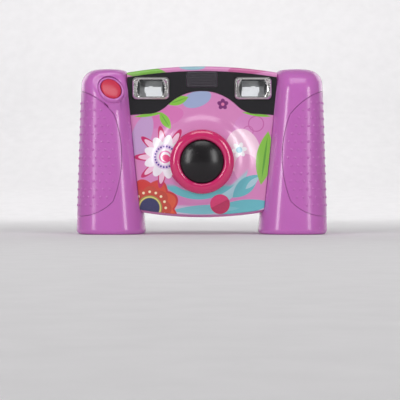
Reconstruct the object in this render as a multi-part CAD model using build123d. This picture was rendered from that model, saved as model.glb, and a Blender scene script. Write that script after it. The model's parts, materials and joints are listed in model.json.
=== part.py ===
from build123d import *
import math
import os

# A rugged children's digital camera with two upright hand grips, twin viewfinders and a
# printed face. Millimetres, +Z up, the lens looks along -Y. The origin is at the centre of
# the footprint, on the surface that the grips stand on. "left" and "right" are as seen from
# the front, so the shutter button is on the left grip.

# --- Overall size ---
HALF_WIDTH = 77.5
GRIP_TOP = 101.2
BODY_TOP = 103.0
REAR_END = 33.0

# --- Grips ---
GRIP_WALL = 2.0
GRIP_INNER_FOOT, GRIP_INNER_CROWN = 34.5, 44.7
GRIP_OUTER_CROWN = 74.2
GRIP_FRONT_FOOT, GRIP_FRONT_CROWN = -30.0, -27.0
GRIP_REAR_FOOT, GRIP_REAR_CROWN = 21.0, 18.5
FOOT_ROUND, SIDE_ROUND, SADDLE_ROUND, BROW_ROUND = 3.0, 9.0, 5.0, 16.0
CROWN_FLAT = 0.35
FRONT_FULLNESS, REAR_FULLNESS = 2.6, 3.4
SKIN_LEVELS = (0, 0.3, 0.9, 1.8, 3, 28, 56, 80, 84, 88, 91.5, 94.5, 96.8, 98.6, 100, 100.8, GRIP_TOP)
SECTION_POINTS = 24
PAD_DEPTH = 1.2
PAD_REAR = 6.0

# --- Central body ---
BODY_FRONT, BODY_SPLIT, BODY_REAR = -17.0, 0.0, 17.5
BODY_WALL = 2.0
SHOULDER_X, SHOULDER_Z = 46.0, 99.2
HEM_X, HEM_Z, HEM_LOW = 41.0, 14.2, 10.4
BODY_ROUND = 2.4
GAP = 0.3

# --- Lens group, on an axis along Y ---
LENS_Z = 44.2
RING_RADIUS, RING_BORE, RING_FRONT = 19.5, 13.3, -30.4
SKIRT_OUTER, SKIRT_INNER = 17.7, 15.7
FACE_BORE = 18.0
DOME_CROWN, DOME_RIM, DOME_THICK = -33.0, -28.8, 1.5
BARREL_OUTER, BARREL_INNER, BARREL_REAR = 15.5, 13.4, -8.0

# --- Viewfinders and flash ---
FINDER_X, FINDER_Z = 31.2, 89.2
BEZEL_WIDTH, BEZEL_HEIGHT, BEZEL_FRONT = 22.3, 13.4, -21.0
LENS_FLAT, LENS_ROUND = 10.8, 8.5
FLASH_Z, FLASH_WIDTH, FLASH_HEIGHT = 94.7, 18.7, 9.4
MASK_FRONT = -18.8
MASK_BORDER, MASK_FLANK = 3.2, 0.3
HUMP_RADIUS, HUMP_Z = 29.3, 58.5

# --- Screen and rear controls ---
SCREEN_Z, SCREEN_WIDTH, SCREEN_HEIGHT = 44.5, 40.0, 31.0
BOARD_FRONT, BOARD_REAR = 4.0, 5.6
KEY_X, KEY_UPPER, KEY_LOWER = 30.2, 53.5, 36.5
KEY_RADIUS, KEY_TRAVEL = 4.6, 1.0
KEYS = (
    ("power_key", -KEY_X, KEY_UPPER),
    ("next_key", -KEY_X, KEY_LOWER),
    ("delete_key", KEY_X, KEY_UPPER),
    ("previous_key", KEY_X, KEY_LOWER),
)
PORT_X, PORT_Z, PORT_WIDTH, PORT_HEIGHT = 0.0, 18.6, 18.0, 8.4

# --- Shutter button, tilted on the brow of the left grip ---
SHUTTER_X, SHUTTER_Z = -55.2, 88.4
SHUTTER_NORMAL = (0.14, -0.80, 0.58)
SHUTTER_LONG, SHUTTER_SHORT = 7.6, 5.9
SHUTTER_TRAVEL = 1.5
SHUTTER_SLANT = 24.0
SHUTTER_SUNK = 2.2

# --- Battery bays ---
CELL_RADIUS, CELL_LENGTH, CELL_SPACE = 7.1, 48.8, 0.1
BAY_LOW, BAY_HIGH = 12.2, 67.4
DOOR_LOW, DOOR_HALF, DOOR_FLANK, DOOR_SHIFT = 4.6, 13.8, 11.0, 1.0
HINGE_Z, HINGE_INSET, HINGE_RADIUS, PIN_RADIUS = 70.5, 2.4, 2.3, 0.8
KNUCKLE_HALF, HINGE_HALF = 7.0, 12.0
CELL_Y = 4.6
DOOR_SCREW_Z = 8.4


def write(name, shape):
    """Writes one sub-part to its STEP file."""
    export_step(shape, f"parts/{name}.step")


def block(x, y, z):
    """A box between the low and high value of each axis."""
    return Pos((x[0] + x[1]) / 2, (y[0] + y[1]) / 2, (z[0] + z[1]) / 2) * Box(
        x[1] - x[0], y[1] - y[0], z[1] - z[0]
    )


def rod(radius, y_low, y_high, x=0.0, z=0.0):
    """A round bar along Y between two depths."""
    middle = (y_low + y_high) / 2
    return Pos(x, middle, z) * Rot(90, 0, 0) * Cylinder(radius, y_high - y_low)


def bar(radius, x_low, x_high, y, z):
    """A round bar along X."""
    return Pos((x_low + x_high) / 2, y, z) * Rot(0, 90, 0) * Cylinder(radius, x_high - x_low)


def prism(outline, y_low, y_high):
    """Extrudes a front-view outline, drawn with x right and y up, between two depths."""
    plane = Plane(origin=(0, y_high, 0), x_dir=(1, 0, 0), z_dir=(0, -1, 0))
    return extrude(plane * outline, amount=y_high - y_low)


def turned(points, x=0.0, z=LENS_Z):
    """A solid of revolution about an axis along Y, from (radius, depth) points."""
    profile = make_face(Polyline(*points, close=True))
    return Pos(x, 0, z) * revolve(profile, axis=Axis.Y)


def both_sides(shape):
    """A right-hand shape together with its mirror image."""
    return Compound([*shape.solids(), *mirror(shape, about=Plane.YZ).solids()])


def joined(solids):
    """Separate solids kept as one node."""
    return Compound([one for shape in solids for one in shape.solids()])


# ---------------------------------------------------------------- grips


def between(foot, crown, z):
    """Straight taper of a grip's side from foot to crown."""
    return foot + (crown - foot) * z / GRIP_TOP


def drawn_in(z, crown_round):
    """How far the rounded foot or crown pulls the skin in at height z."""
    if z < FOOT_ROUND:
        return FOOT_ROUND - math.sqrt(FOOT_ROUND**2 - (FOOT_ROUND - z) ** 2) * 0.9 - 0.1 * FOOT_ROUND
    rise = z - (GRIP_TOP + CROWN_FLAT - crown_round)
    if rise <= 0:
        return 0.0
    return crown_round - math.sqrt(crown_round**2 - rise**2)


def grip_limits(z):
    """Inner and outer x, front and rear y of the right grip's skin at height z."""
    inner = between(GRIP_INNER_FOOT, GRIP_INNER_CROWN, z) + drawn_in(z, SADDLE_ROUND)
    outer = between(HALF_WIDTH, GRIP_OUTER_CROWN, z) - drawn_in(z, SIDE_ROUND)
    front = between(GRIP_FRONT_FOOT, GRIP_FRONT_CROWN, z) + drawn_in(z, BROW_ROUND)
    rear = between(GRIP_REAR_FOOT, GRIP_REAR_CROWN, z) - drawn_in(z, SIDE_ROUND)
    return inner, outer, front, rear


def grip_section(z, inset):
    """One level of a grip's skin, as a face: squarer behind than in front."""
    inner, outer, front, rear = grip_limits(z)
    centre_x, centre_y = (inner + outer) / 2, (front + rear) / 2
    half_x, half_y = (outer - inner) / 2 - inset, (rear - front) / 2 - inset
    points = []
    for step in range(SECTION_POINTS):
        angle = math.pi + math.tau * step / SECTION_POINTS
        power = 2 / (FRONT_FULLNESS if math.sin(angle) < 0 else REAR_FULLNESS)
        across = math.copysign(abs(math.cos(angle)) ** power, math.cos(angle))
        along = math.copysign(abs(math.sin(angle)) ** power, math.sin(angle))
        points.append((centre_x + half_x * across, centre_y + half_y * along, z))
    return make_face(Spline(*points, periodic=True))


def grip_form(inset=0.0):
    """The right grip as one solid, drawn in by inset all round."""
    low, high = inset, GRIP_TOP - inset
    levels = [low] + [z for z in SKIN_LEVELS if low + 0.3 < z < high - 0.3] + [high]
    return loft([grip_section(z, inset) for z in levels], ruled=True)


def rear_surface(z):
    """Depth of the grip's rear face on its centre line."""
    return grip_limits(z)[3]


def grip_centre(z):
    """Middle of the right grip across its width."""
    inner, outer, _, _ = grip_limits(z)
    return (inner + outer) / 2


DOOR_X = grip_centre(45.0) + DOOR_SHIFT
HINGE_Y = rear_surface(HINGE_Z) - HINGE_INSET
GRIP_SCREW_Z = 86.0
GRIP_SCREW_X = grip_limits(GRIP_SCREW_Z)[1] - 4.6


def pad_outline():
    """Front-view outline of the soft grip pad, open to the outer side of the right grip."""
    top = ThreePointArc((90.0, 90.0), (65.0, 83.6), (53.2, 73.0))
    inner = ThreePointArc((53.2, 73.0), (48.4, 48.0), (53.6, 20.0))
    low = ThreePointArc((53.6, 20.0), (64.0, 13.0), (90.0, 15.6))
    return make_face([top, inner, low, Line((90.0, 15.6), (90.0, 90.0))])


def door_outline(grow):
    """Front-view outline of a battery door, grown all round for its opening."""
    low, high = DOOR_LOW - grow, HINGE_Z + grow
    middle = (low + high) / 2
    outline = RectangleRounded(2 * (DOOR_HALF + grow), high - low, 3.0)
    return Pos(DOOR_X, middle) * outline


def battery_door(skin, cavity):
    """Curved door with its knuckle, screw boss and screw hole."""
    shell = (skin - cavity) & prism(door_outline(0), DOOR_FLANK, 40.0)
    panel = shell - block((20, 90), (5, 40), (HINGE_Z - HINGE_RADIUS - 0.5, 90))
    middle = (DOOR_X - KNUCKLE_HALF, DOOR_X + KNUCKLE_HALF)
    knuckle = bar(HINGE_RADIUS, *middle, HINGE_Y, HINGE_Z)
    web = block(middle, (HINGE_Y, HINGE_Y + HINGE_RADIUS - 0.1), (HINGE_Z - 4, HINGE_Z))
    surface = rear_surface(DOOR_SCREW_Z)
    boss = rod(4.0, surface - 5.0, surface - 1.6, DOOR_X, DOOR_SCREW_Z)
    whole = panel + knuckle + web + boss
    whole -= bar(PIN_RADIUS + 0.06, DOOR_X - 20, DOOR_X + 20, HINGE_Y, HINGE_Z)
    whole -= rod(1.5, 0, 40, DOOR_X, DOOR_SCREW_Z)
    return whole - rod(3.0, surface - 1.4, 40, DOOR_X, DOOR_SCREW_Z)


def door_screw():
    """Captive cross-head screw of a battery door."""
    surface = rear_surface(DOOR_SCREW_Z)
    head = rod(2.7, surface - 1.4, surface - 0.2, DOOR_X, DOOR_SCREW_Z)
    shank = rod(1.4, surface - 12.0, surface - 1.4, DOOR_X, DOOR_SCREW_Z)
    slots = Compound(
        [
            Pos(DOOR_X, surface - 0.2, DOOR_SCREW_Z) * Rot(0, turn, 0) * Box(3.2, 1.2, 0.6)
            for turn in (0, 90)
        ]
    )
    return head + shank - slots


def grip_front_shell(skin, cavity, pad):
    """Front half of a grip with its screw post and upper boss."""
    shell = (skin - cavity - pad) & block((20, 90), (-40, 0), (-1, 110))
    surface = rear_surface(DOOR_SCREW_Z)
    post = rod(3.6, -28.6, surface - 5.4, DOOR_X, DOOR_SCREW_Z)
    shell += post - rod(2.3, surface - 14.0, 40, DOOR_X, DOOR_SCREW_Z)
    shell += rod(3.2, -12.0, 0, GRIP_SCREW_X, GRIP_SCREW_Z)
    return shell - rod(1.3, -9.5, 1, GRIP_SCREW_X, GRIP_SCREW_Z)


def grip_rear_shell(skin, cavity, pad):
    """Rear half of a grip: door opening, hinge lugs and screw boss."""
    shell = (skin - cavity - pad) & block((20, 90), (0, 40), (-1, 110))
    shell -= prism(door_outline(GAP), DOOR_FLANK, 40.0)
    room = KNUCKLE_HALF + 0.4
    knuckle_top = HINGE_Z + HINGE_RADIUS + 0.4
    shell -= block((DOOR_X - room, DOOR_X + room), (10, 40), (HINGE_Z - 1, knuckle_top))
    lug = bar(HINGE_RADIUS, DOOR_X + room, DOOR_X + HINGE_HALF, HINGE_Y, HINGE_Z)
    shell += lug + mirror(lug, about=Plane.YZ.offset(DOOR_X))
    shell += rod(3.2, 0, 14.0, GRIP_SCREW_X, GRIP_SCREW_Z)
    shell -= bar(PIN_RADIUS, DOOR_X - HINGE_HALF, DOOR_X + HINGE_HALF, HINGE_Y, HINGE_Z)
    shell -= rod(1.6, -1, 40, GRIP_SCREW_X, GRIP_SCREW_Z)
    return shell - rod(3.0, 9.0, 40, GRIP_SCREW_X, GRIP_SCREW_Z)


def battery_tray():
    """Cradle for two cells, open to the door."""
    x = (DOOR_X - 15.6, DOOR_X + 15.6)
    back = CELL_Y - CELL_RADIUS
    tray = block(x, (back - 1.5, back + 11.0), (BAY_LOW, BAY_HIGH))
    hollow = block((x[0] + 0.9, x[1] - 0.9), (back - 0.2, 30), (BAY_LOW + 1.2, BAY_HIGH - 1.2))
    rib_x = (DOOR_X - 0.25, DOOR_X + 0.25)
    rib = block(rib_x, (back - 0.2, back + 1.0), (BAY_LOW + 1.2, BAY_HIGH - 1.2))
    return ((tray - hollow) + rib) & grip_form(GRIP_WALL + 0.05)


def cell(side):
    """One AA cell, its button up on one side and down on the other."""
    x = DOOR_X + side * (CELL_RADIUS + CELL_SPACE)
    low = BAY_LOW + (2.4 if side > 0 else 3.0)
    can = Pos(x, CELL_Y, low + CELL_LENGTH / 2) * Cylinder(CELL_RADIUS, CELL_LENGTH)
    button_z = low + CELL_LENGTH + 0.5 if side > 0 else low - 0.5
    button = Pos(x, CELL_Y, button_z) * Cylinder(2.7, 1.2)
    return fillet(can.edges().filter_by(GeomType.CIRCLE), 0.5) + button


def contacts():
    """Nickelled contact plates at the two ends of the cradle."""
    pieces = []
    for side in (-1, 1):
        x = DOOR_X + side * (CELL_RADIUS + CELL_SPACE)
        for low in (BAY_LOW + 1.25, BAY_HIGH - 1.65):
            pieces.append(block((x - 5, x + 5), (CELL_Y - 4.8, CELL_Y + 4.8), (low, low + 0.4)))
    return Compound(pieces)


# ---------------------------------------------------------------- shutter button


def shutter_plane():
    """Local frame of the shutter button: z along its outward normal, x along its long axis."""
    lean_y = surface_depth(SHUTTER_Z) + SHUTTER_SUNK
    across = Vector(1, 0, 0)
    normal = Vector(*SHUTTER_NORMAL).normalized()
    upward = normal.cross(across).normalized()
    turned_axis = upward.rotate(Axis((0, 0, 0), tuple(normal)), SHUTTER_SLANT)
    return Plane(origin=(SHUTTER_X, lean_y, SHUTTER_Z), x_dir=turned_axis, z_dir=normal)


def surface_depth(z):
    """Depth of the grip's front at the shutter button."""
    inner, outer, front, rear = grip_limits(z)
    off_centre = abs(abs(SHUTTER_X) - (inner + outer) / 2) / ((outer - inner) / 2)
    reach = (1 - off_centre**FRONT_FULLNESS) ** (1 / FRONT_FULLNESS)
    return (front + rear) / 2 - reach * (rear - front) / 2


def oval(plane, grow, low, high):
    """An oval bar in the button's frame between two local heights."""
    outline = plane * Pos(0, 0, low) * Ellipse(SHUTTER_LONG + grow, SHUTTER_SHORT + grow)
    return extrude(outline, amount=high - low, dir=plane.z_dir)


def local_rod(plane, radius, low, high):
    """A round bar in the button's frame between two local heights."""
    outline = plane * Pos(0, 0, low) * Circle(radius)
    return extrude(outline, amount=high - low, dir=plane.z_dir)


def shutter_bezel(plane):
    """Raised oval rim with a guide sleeve and two legs that hold the switch."""
    rim = oval(plane, 2.0, -6.5, 0.5) + local_rod(plane, 4.6, -9.0, -6.5)
    for side in (-1, 1):
        rim += plane.location * Pos(side * 4.9, 0, -10.2) * Box(1.4, 5.0, 7.6)
    return rim - oval(plane, 0.3, -4.6, 2.0) - local_rod(plane, 2.9, -12.0, 0)


def shutter_switch(plane):
    """Tact switch under the button's stem."""
    return plane.location * Pos(0, 0, -12.1) * Box(7.9, 5.0, 3.6)


def shutter_button(plane):
    """Oval cap with its guide stem."""
    cap = oval(plane, 0.0, -2.6, 1.2)
    return cap + local_rod(plane, 2.8, -8.6, -2.6)


# ---------------------------------------------------------------- central body


def body_outline(grow, flank=None):
    """Front-view outline of the central body; flank is how far its sides grow, if not the same."""
    flank = grow if flank is None else flank
    top = ThreePointArc(
        (-SHOULDER_X - flank, SHOULDER_Z + grow),
        (0, BODY_TOP + grow),
        (SHOULDER_X + flank, SHOULDER_Z + grow),
    )
    hem = ThreePointArc(
        (HEM_X + flank, HEM_Z - grow), (0, HEM_LOW - grow), (-HEM_X - flank, HEM_Z - grow)
    )
    right = Line(top @ 1, hem @ 0)
    left = Line(hem @ 1, top @ 0)
    return make_face([top, right, hem, left])


def hump_outline(grow):
    """Front-view outline of the printed face: a round brow that flares into two wings."""
    wing_z, root_x, root_z = 72.6, 21.3, 78.9
    brow = ThreePointArc(
        (-root_x, root_z + grow), (0, HUMP_Z + HUMP_RADIUS + grow), (root_x, root_z + grow)
    )
    flare = ThreePointArc((root_x, root_z + grow), (26.6, 75.2 + grow), (33.0, 73.9 + grow))
    right = [flare, Line((33.0, 73.9 + grow), (50.0, wing_z + grow))]
    mirrored = [
        Line((-50.0, wing_z + grow), (-33.0, 73.9 + grow)),
        ThreePointArc((-33.0, 73.9 + grow), (-26.6, 75.2 + grow), (-root_x, root_z + grow)),
    ]
    close = [
        Line((50.0, wing_z + grow), (50.0, 0)),
        Line((50.0, 0), (-50.0, 0)),
        Line((-50.0, 0), (-50.0, wing_z + grow)),
    ]
    return make_face([*mirrored, brow, *right, *close])


def rounded(width, height, radius, x, z):
    """A rounded rectangle in front view."""
    return Pos(x, z) * RectangleRounded(width, height, radius)


def barrel_lens_outline(grow, x):
    """Round window cut flat above and below."""
    disc = Circle(LENS_ROUND + grow) & Rectangle(30, LENS_FLAT + 2 * grow)
    return Pos(x, FINDER_Z) * disc


def body_form():
    """The whole central body as one rounded solid."""
    form = prism(body_outline(0), BODY_FRONT, BODY_REAR)
    rims = [
        edge
        for edge in form.edges()
        if edge.geom_type == GeomType.CIRCLE and abs(abs(edge.center().Y) - 17.0) < 1.0
    ]
    return fillet(rims, BODY_ROUND)


SCREW_SPOTS = ((34.5, 64.5), (31.0, 18.2))


def front_shell(form, grips):
    """Front half of the body with openings for lens, finders and flash."""
    room = prism(body_outline(-BODY_WALL), BODY_FRONT + BODY_WALL, BODY_REAR)
    shell = (form - room) & block((-60, 60), (-40, BODY_SPLIT), (0, 120))
    for side in (-1, 1):
        shell -= prism(rounded(17.4, 11.4, 1.5, side * FINDER_X, FINDER_Z), -20, -10)
        for x, z in SCREW_SPOTS:
            boss = rod(3.0, BODY_FRONT + 1.0, BODY_SPLIT, side * x, z)
            shell += boss - rod(1.2, -12, 1, side * x, z)
    shell -= rod(BARREL_OUTER + 2.4, -20, -10, 0, LENS_Z)
    shell -= prism(rounded(16.0, 7.4, 0.8, 0, FLASH_Z), -20, -10)
    return shell - grips


def rear_shell(form, grips):
    """Rear half of the body with the screen, key, finder and port openings."""
    room = prism(body_outline(-BODY_WALL), BODY_FRONT, BODY_REAR - BODY_WALL)
    shell = (form - room) & block((-60, 60), (BODY_SPLIT, 40), (0, 120))
    shell -= prism(rounded(39.0, 30.0, 1.5, 0, SCREEN_Z), 10, 30)
    shell -= prism(rounded(PORT_WIDTH - 4, PORT_HEIGHT - 3, 1.0, PORT_X, PORT_Z), 10, 30)
    shell -= prism(rounded(PORT_WIDTH + GAP, PORT_HEIGHT + GAP, 2.2, PORT_X, PORT_Z), 16.2, 30)
    for side in (-1, 1):
        shell -= prism(rounded(12.4, 9.4, 1.5, side * FINDER_X, FINDER_Z), 10, 30)
        for z in (KEY_UPPER, KEY_LOWER):
            shell -= rod(KEY_RADIUS + GAP, 10, 30, side * KEY_X, z)
        for x, z in SCREW_SPOTS:
            boss = rod(3.0, BODY_SPLIT, BODY_REAR - 1.0, side * x, z)
            shell += boss
            shell -= rod(1.5, -1, 30, side * x, z)
            shell -= rod(2.5, 9.5, 30, side * x, z)
    for column in range(-2, 3):
        for row in range(-1, 2):
            shell -= rod(0.7, 10, 30, column * 2.6, 67.6 + row * 2.4)
    return shell - grips


def face_plate(grips):
    """Printed face that swells towards the lens ring, 1.6 to 2.4 thick."""
    swell_curve = ((FACE_BORE, -26.3), (23.0, -25.2), (31.0, -21.6), (40.0, -19.7), (52.0, -19.2))
    outer = Spline(*swell_curve, (64.0, -19.2))
    back = ((64.0, -17.05), (38.0, -17.05), (24.5, -22.4), (FACE_BORE, -23.6))
    inner = Polyline(outer @ 1, *back, outer @ 0)
    swell = Pos(0, 0, LENS_Z) * revolve(make_face([outer, inner]), axis=Axis.Y)
    area = prism(hump_outline(-GAP), -40, 0) & prism(body_outline(-1.4), -40, 0)
    return (swell & area) - grips


def mask(grips):
    """Black panel that carries the finder bezels and the flash window, out to the grips."""
    panel = prism(body_outline(-MASK_BORDER, -MASK_FLANK), MASK_FRONT, BODY_FRONT - 0.05)
    panel -= prism(hump_outline(0), -40, 0)
    for side in (-1, 1):
        opening = rounded(BEZEL_WIDTH + GAP, BEZEL_HEIGHT + GAP, 2.6, side * FINDER_X, FINDER_Z)
        panel -= prism(opening, -40, 0)
    flash_opening = rounded(FLASH_WIDTH + GAP, FLASH_HEIGHT + GAP, 1.2, 0, FLASH_Z)
    return panel - prism(flash_opening, -40, 0) - grips


def cross_plane(x, y, z):
    """A drawing plane that faces the front, centred on a point."""
    return Plane(origin=(x, y, z), x_dir=(1, 0, 0), z_dir=(0, -1, 0))


def finder_bezel(x):
    """Clear bevelled frame around one finder window."""
    low = prism(rounded(BEZEL_WIDTH, BEZEL_HEIGHT, 2.6, x, FINDER_Z), BEZEL_FRONT, BODY_FRONT - 0.05)
    rims = low.edges().group_by(Axis.Y)[0]
    return chamfer(rims, 1.3) - prism(barrel_lens_outline(0.1, x), -40, 0)


def finder_tunnel(x):
    """Tapered light tunnel from the front window to the eyepiece."""
    tube = prism(rounded(17.0, 11.0, 1.4, x, FINDER_Z), -16.9, 13.4)
    front = cross_plane(x, -17.0, FINDER_Z) * Rectangle(13.6, 9.0)
    back = cross_plane(x, 13.5, FINDER_Z) * Rectangle(8.4, 6.2)
    return tube - loft([front, back])


def eyecup(grips):
    """Rubber brow piece with two eye hoods and a notch for the nose."""
    plate = prism(rounded(88.0, 24.0, 5.0, 0, FINDER_Z - 1.5), BODY_REAR, BODY_REAR + 4.0)
    hood = prism(rounded(27.0, 24.0, 6.0, FINDER_X - 0.6, FINDER_Z - 1.5), BODY_REAR, REAR_END)
    hood = fillet(hood.edges().group_by(Axis.Y)[-1], 1.5)
    wide = cross_plane(FINDER_X, REAR_END, FINDER_Z - 1.0) * RectangleRounded(22.0, 18.5, 4.0)
    tight = cross_plane(FINDER_X, BODY_REAR + 2.0, FINDER_Z) * RectangleRounded(14.0, 11.0, 2.5)
    hole = prism(rounded(12.4, 9.4, 1.5, FINDER_X, FINDER_Z), 10, 30)
    cup = hood - loft([wide, tight]) - hole
    nose = rod(15.0, 0, 60, 0, 68.0)
    plate -= Compound([hood, mirror(hood, about=Plane.YZ)])
    return plate + cup + mirror(cup, about=Plane.YZ) - nose - grips


def lens_ring():
    """Glossy ring around the lens window with a skirt that fits the face."""
    crown = [(RING_BORE, -29.2), (14.6, RING_FRONT), (17.4, RING_FRONT + 0.5), (RING_RADIUS, -28.0)]
    seat = [(RING_RADIUS, -26.5), (SKIRT_OUTER, -26.5), (SKIRT_OUTER, -17.1), (SKIRT_INNER, -17.1)]
    step = [(SKIRT_INNER, -27.0), (RING_BORE, -27.0)]
    return turned([*crown, *seat, *step])


def lens_dome():
    """Smoked window: a shallow dish seated in the ring."""
    rim_radius = RING_BORE - 0.1
    rise = DOME_RIM - DOME_CROWN
    curve = (rim_radius**2 + rise**2) / (2 * rise)
    centre = Pos(0, DOME_CROWN + curve, LENS_Z)
    disc = (centre * Sphere(curve)) & rod(rim_radius, DOME_CROWN - 1, DOME_RIM + 1.6, 0, LENS_Z)
    hollow = rod(rim_radius - 1.6, DOME_RIM + 0.3, -20.0, 0, LENS_Z)
    return disc - centre * Sphere(curve - DOME_THICK) - hollow


def lens_barrel():
    """Black barrel behind the window, stepped down to the lens bore."""
    tube = [(BARREL_INNER, -26.9), (BARREL_OUTER, -26.9), (BARREL_OUTER, BARREL_REAR)]
    bore = [(5.0, BARREL_REAR), (5.0, -10.0), (6.2, -10.0), (6.2, -21.0), (8.6, -22.2)]
    return turned([*tube, *bore, (BARREL_INNER, -24.0)])


def lens_elements():
    """Two glass elements in the barrel."""
    front = rod(6.15, -20.6, -18.4, 0, LENS_Z)
    rear = rod(6.15, -13.2, -11.6, 0, LENS_Z)
    return joined([fillet(front.edges().group_by(Axis.Y)[0], 1.0), rear])


def electronics():
    """Boards, sensor, flash unit, display, sounder and sockets."""
    write("lens_elements", lens_elements())
    write("sensor_board", block((-13, 13), (BARREL_REAR, -6.4), (LENS_Z - 12, LENS_Z + 12)))
    write("image_sensor", block((-3, 3), (BARREL_REAR - 1.4, BARREL_REAR), (LENS_Z - 3, LENS_Z + 3)))
    board = block((-30, 30), (BOARD_FRONT, BOARD_REAR), (25, 78))
    tongue = block((-15, 15), (BOARD_FRONT, BOARD_REAR), (14, 25))
    write("main_board", board + tongue)
    spots = [(x, z) for x in (-10, 10) for z in (33, 53)]
    posts = [block((x - 1.2, x + 1.2), (-6.4, BOARD_FRONT), (z, z + 2.4)) for x, z in spots]
    write("sensor_board_posts", joined(posts))
    write("flash_capacitor", fillet(bar(4.0, -13, 13, 0, 72.5).edges().filter_by(GeomType.CIRCLE), 0.8))
    reflector = prism(rounded(15.6, 7.0, 0.6, 0, FLASH_Z), -16.9, -8.0)
    reflector -= prism(rounded(14.0, 5.4, 0.5, 0, FLASH_Z), -17.5, -9.2)
    write("flash_reflector", reflector)
    write("flash_tube", bar(1.3, -6.9, 6.9, -12.0, FLASH_Z))
    write("display_module", block((-21, 21), (11.6, 15.3), (SCREEN_Z - 16.4, SCREEN_Z + 16.4)))
    frame = block((-22.2, 22.2), (BOARD_REAR, 15.4), (SCREEN_Z - 17.6, SCREEN_Z + 17.6))
    frame -= block((-21.1, 21.1), (BOARD_REAR - 1, 16), (SCREEN_Z - 16.5, SCREEN_Z + 16.5))
    write("display_frame", frame)
    write("sounder", rod(6.2, 11.8, 15.4, 0, 69.0))
    socket = block((-4, 4), (BOARD_REAR, 14.8), (PORT_Z - 2.0, PORT_Z + 2.0))
    write("usb_socket", socket - block((-3.4, 3.4), (8.0, 16), (PORT_Z - 1.4, PORT_Z + 1.4)))
    switches = []
    for _, x, z in KEYS:
        near = x - math.copysign(3.2, x)
        switches.append(block((near - 3, near + 3), (BOARD_REAR, 9.1), (z - 3, z + 3)))
    write("key_switches", joined(switches))


def key(x, z):
    """One round rear key with its retaining flange and stem."""
    near = x - math.copysign(3.2, x)
    cap = rod(KEY_RADIUS, 14.0, 19.6, x, z)
    cap = fillet(cap.edges().group_by(Axis.Y)[-1], 1.0)
    flange = rod(KEY_RADIUS + 0.9, 14.0, 15.2, x, z)
    return cap + flange + rod(1.7, 9.1 + KEY_TRAVEL + 0.1, 14.2, near, z)


def screen_parts():
    """Bezel and clear window over the display."""
    bezel = prism(rounded(50.0, 41.0, 4.0, 0, SCREEN_Z), BODY_REAR + 0.02, BODY_REAR + 2.2)
    bezel = chamfer(bezel.edges().group_by(Axis.Y)[-1], 0.9)
    bezel -= prism(rounded(SCREEN_WIDTH + 0.1, SCREEN_HEIGHT + 0.1, 2.0, 0, SCREEN_Z), BODY_REAR - 1, 30)
    write("screen_bezel", bezel)
    window = prism(rounded(SCREEN_WIDTH, SCREEN_HEIGHT, 2.0, 0, SCREEN_Z), BODY_REAR + 0.02, BODY_REAR + 1.5)
    write("screen_window", window)


def port_cover():
    """Rubber plug cover that folds down on its lower edge."""
    y_low = 16.3
    flap = prism(rounded(PORT_WIDTH - 0.3, PORT_HEIGHT - 0.3, 2.0, PORT_X, PORT_Z), y_low, BODY_REAR + 0.9)
    lip = bar(0.9, PORT_X - 4, PORT_X + 4, BODY_REAR + 0.9, PORT_Z + PORT_HEIGHT / 2 - 1.6)
    return flap + lip


def strap_lug():
    """Loop for a wrist strap at the foot of the rear."""
    plate = prism(rounded(9.0, 7.0, 2.0, 30.5, 26.0), BODY_REAR + 0.02, BODY_REAR + 1.2)
    loop = prism(rounded(3.6, 5.6, 1.2, 30.5, 26.0), BODY_REAR + 1.0, BODY_REAR + 6.0)
    return plate + loop - block((20, 40), (BODY_REAR + 1.6, BODY_REAR + 4.2), (24.4, 27.6))


def case_screws():
    """Six tapping screws that hold the shells together from behind."""
    screws = []
    for side in (-1, 1):
        for x, z in SCREW_SPOTS:
            screws.append(rod(2.35, 9.5, 11.2, side * x, z) + rod(1.15, -11, 9.6, side * x, z))
        x = side * GRIP_SCREW_X
        screws.append(rod(2.6, 9.0, 10.8, x, GRIP_SCREW_Z) + rod(1.25, -9.0, 9.1, x, GRIP_SCREW_Z))
    return joined(screws)


def on_side(side, shape):
    """The right-hand shape itself, or its mirror image for the left."""
    return mirror(shape, about=Plane.YZ) if side < 0 else shape


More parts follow.
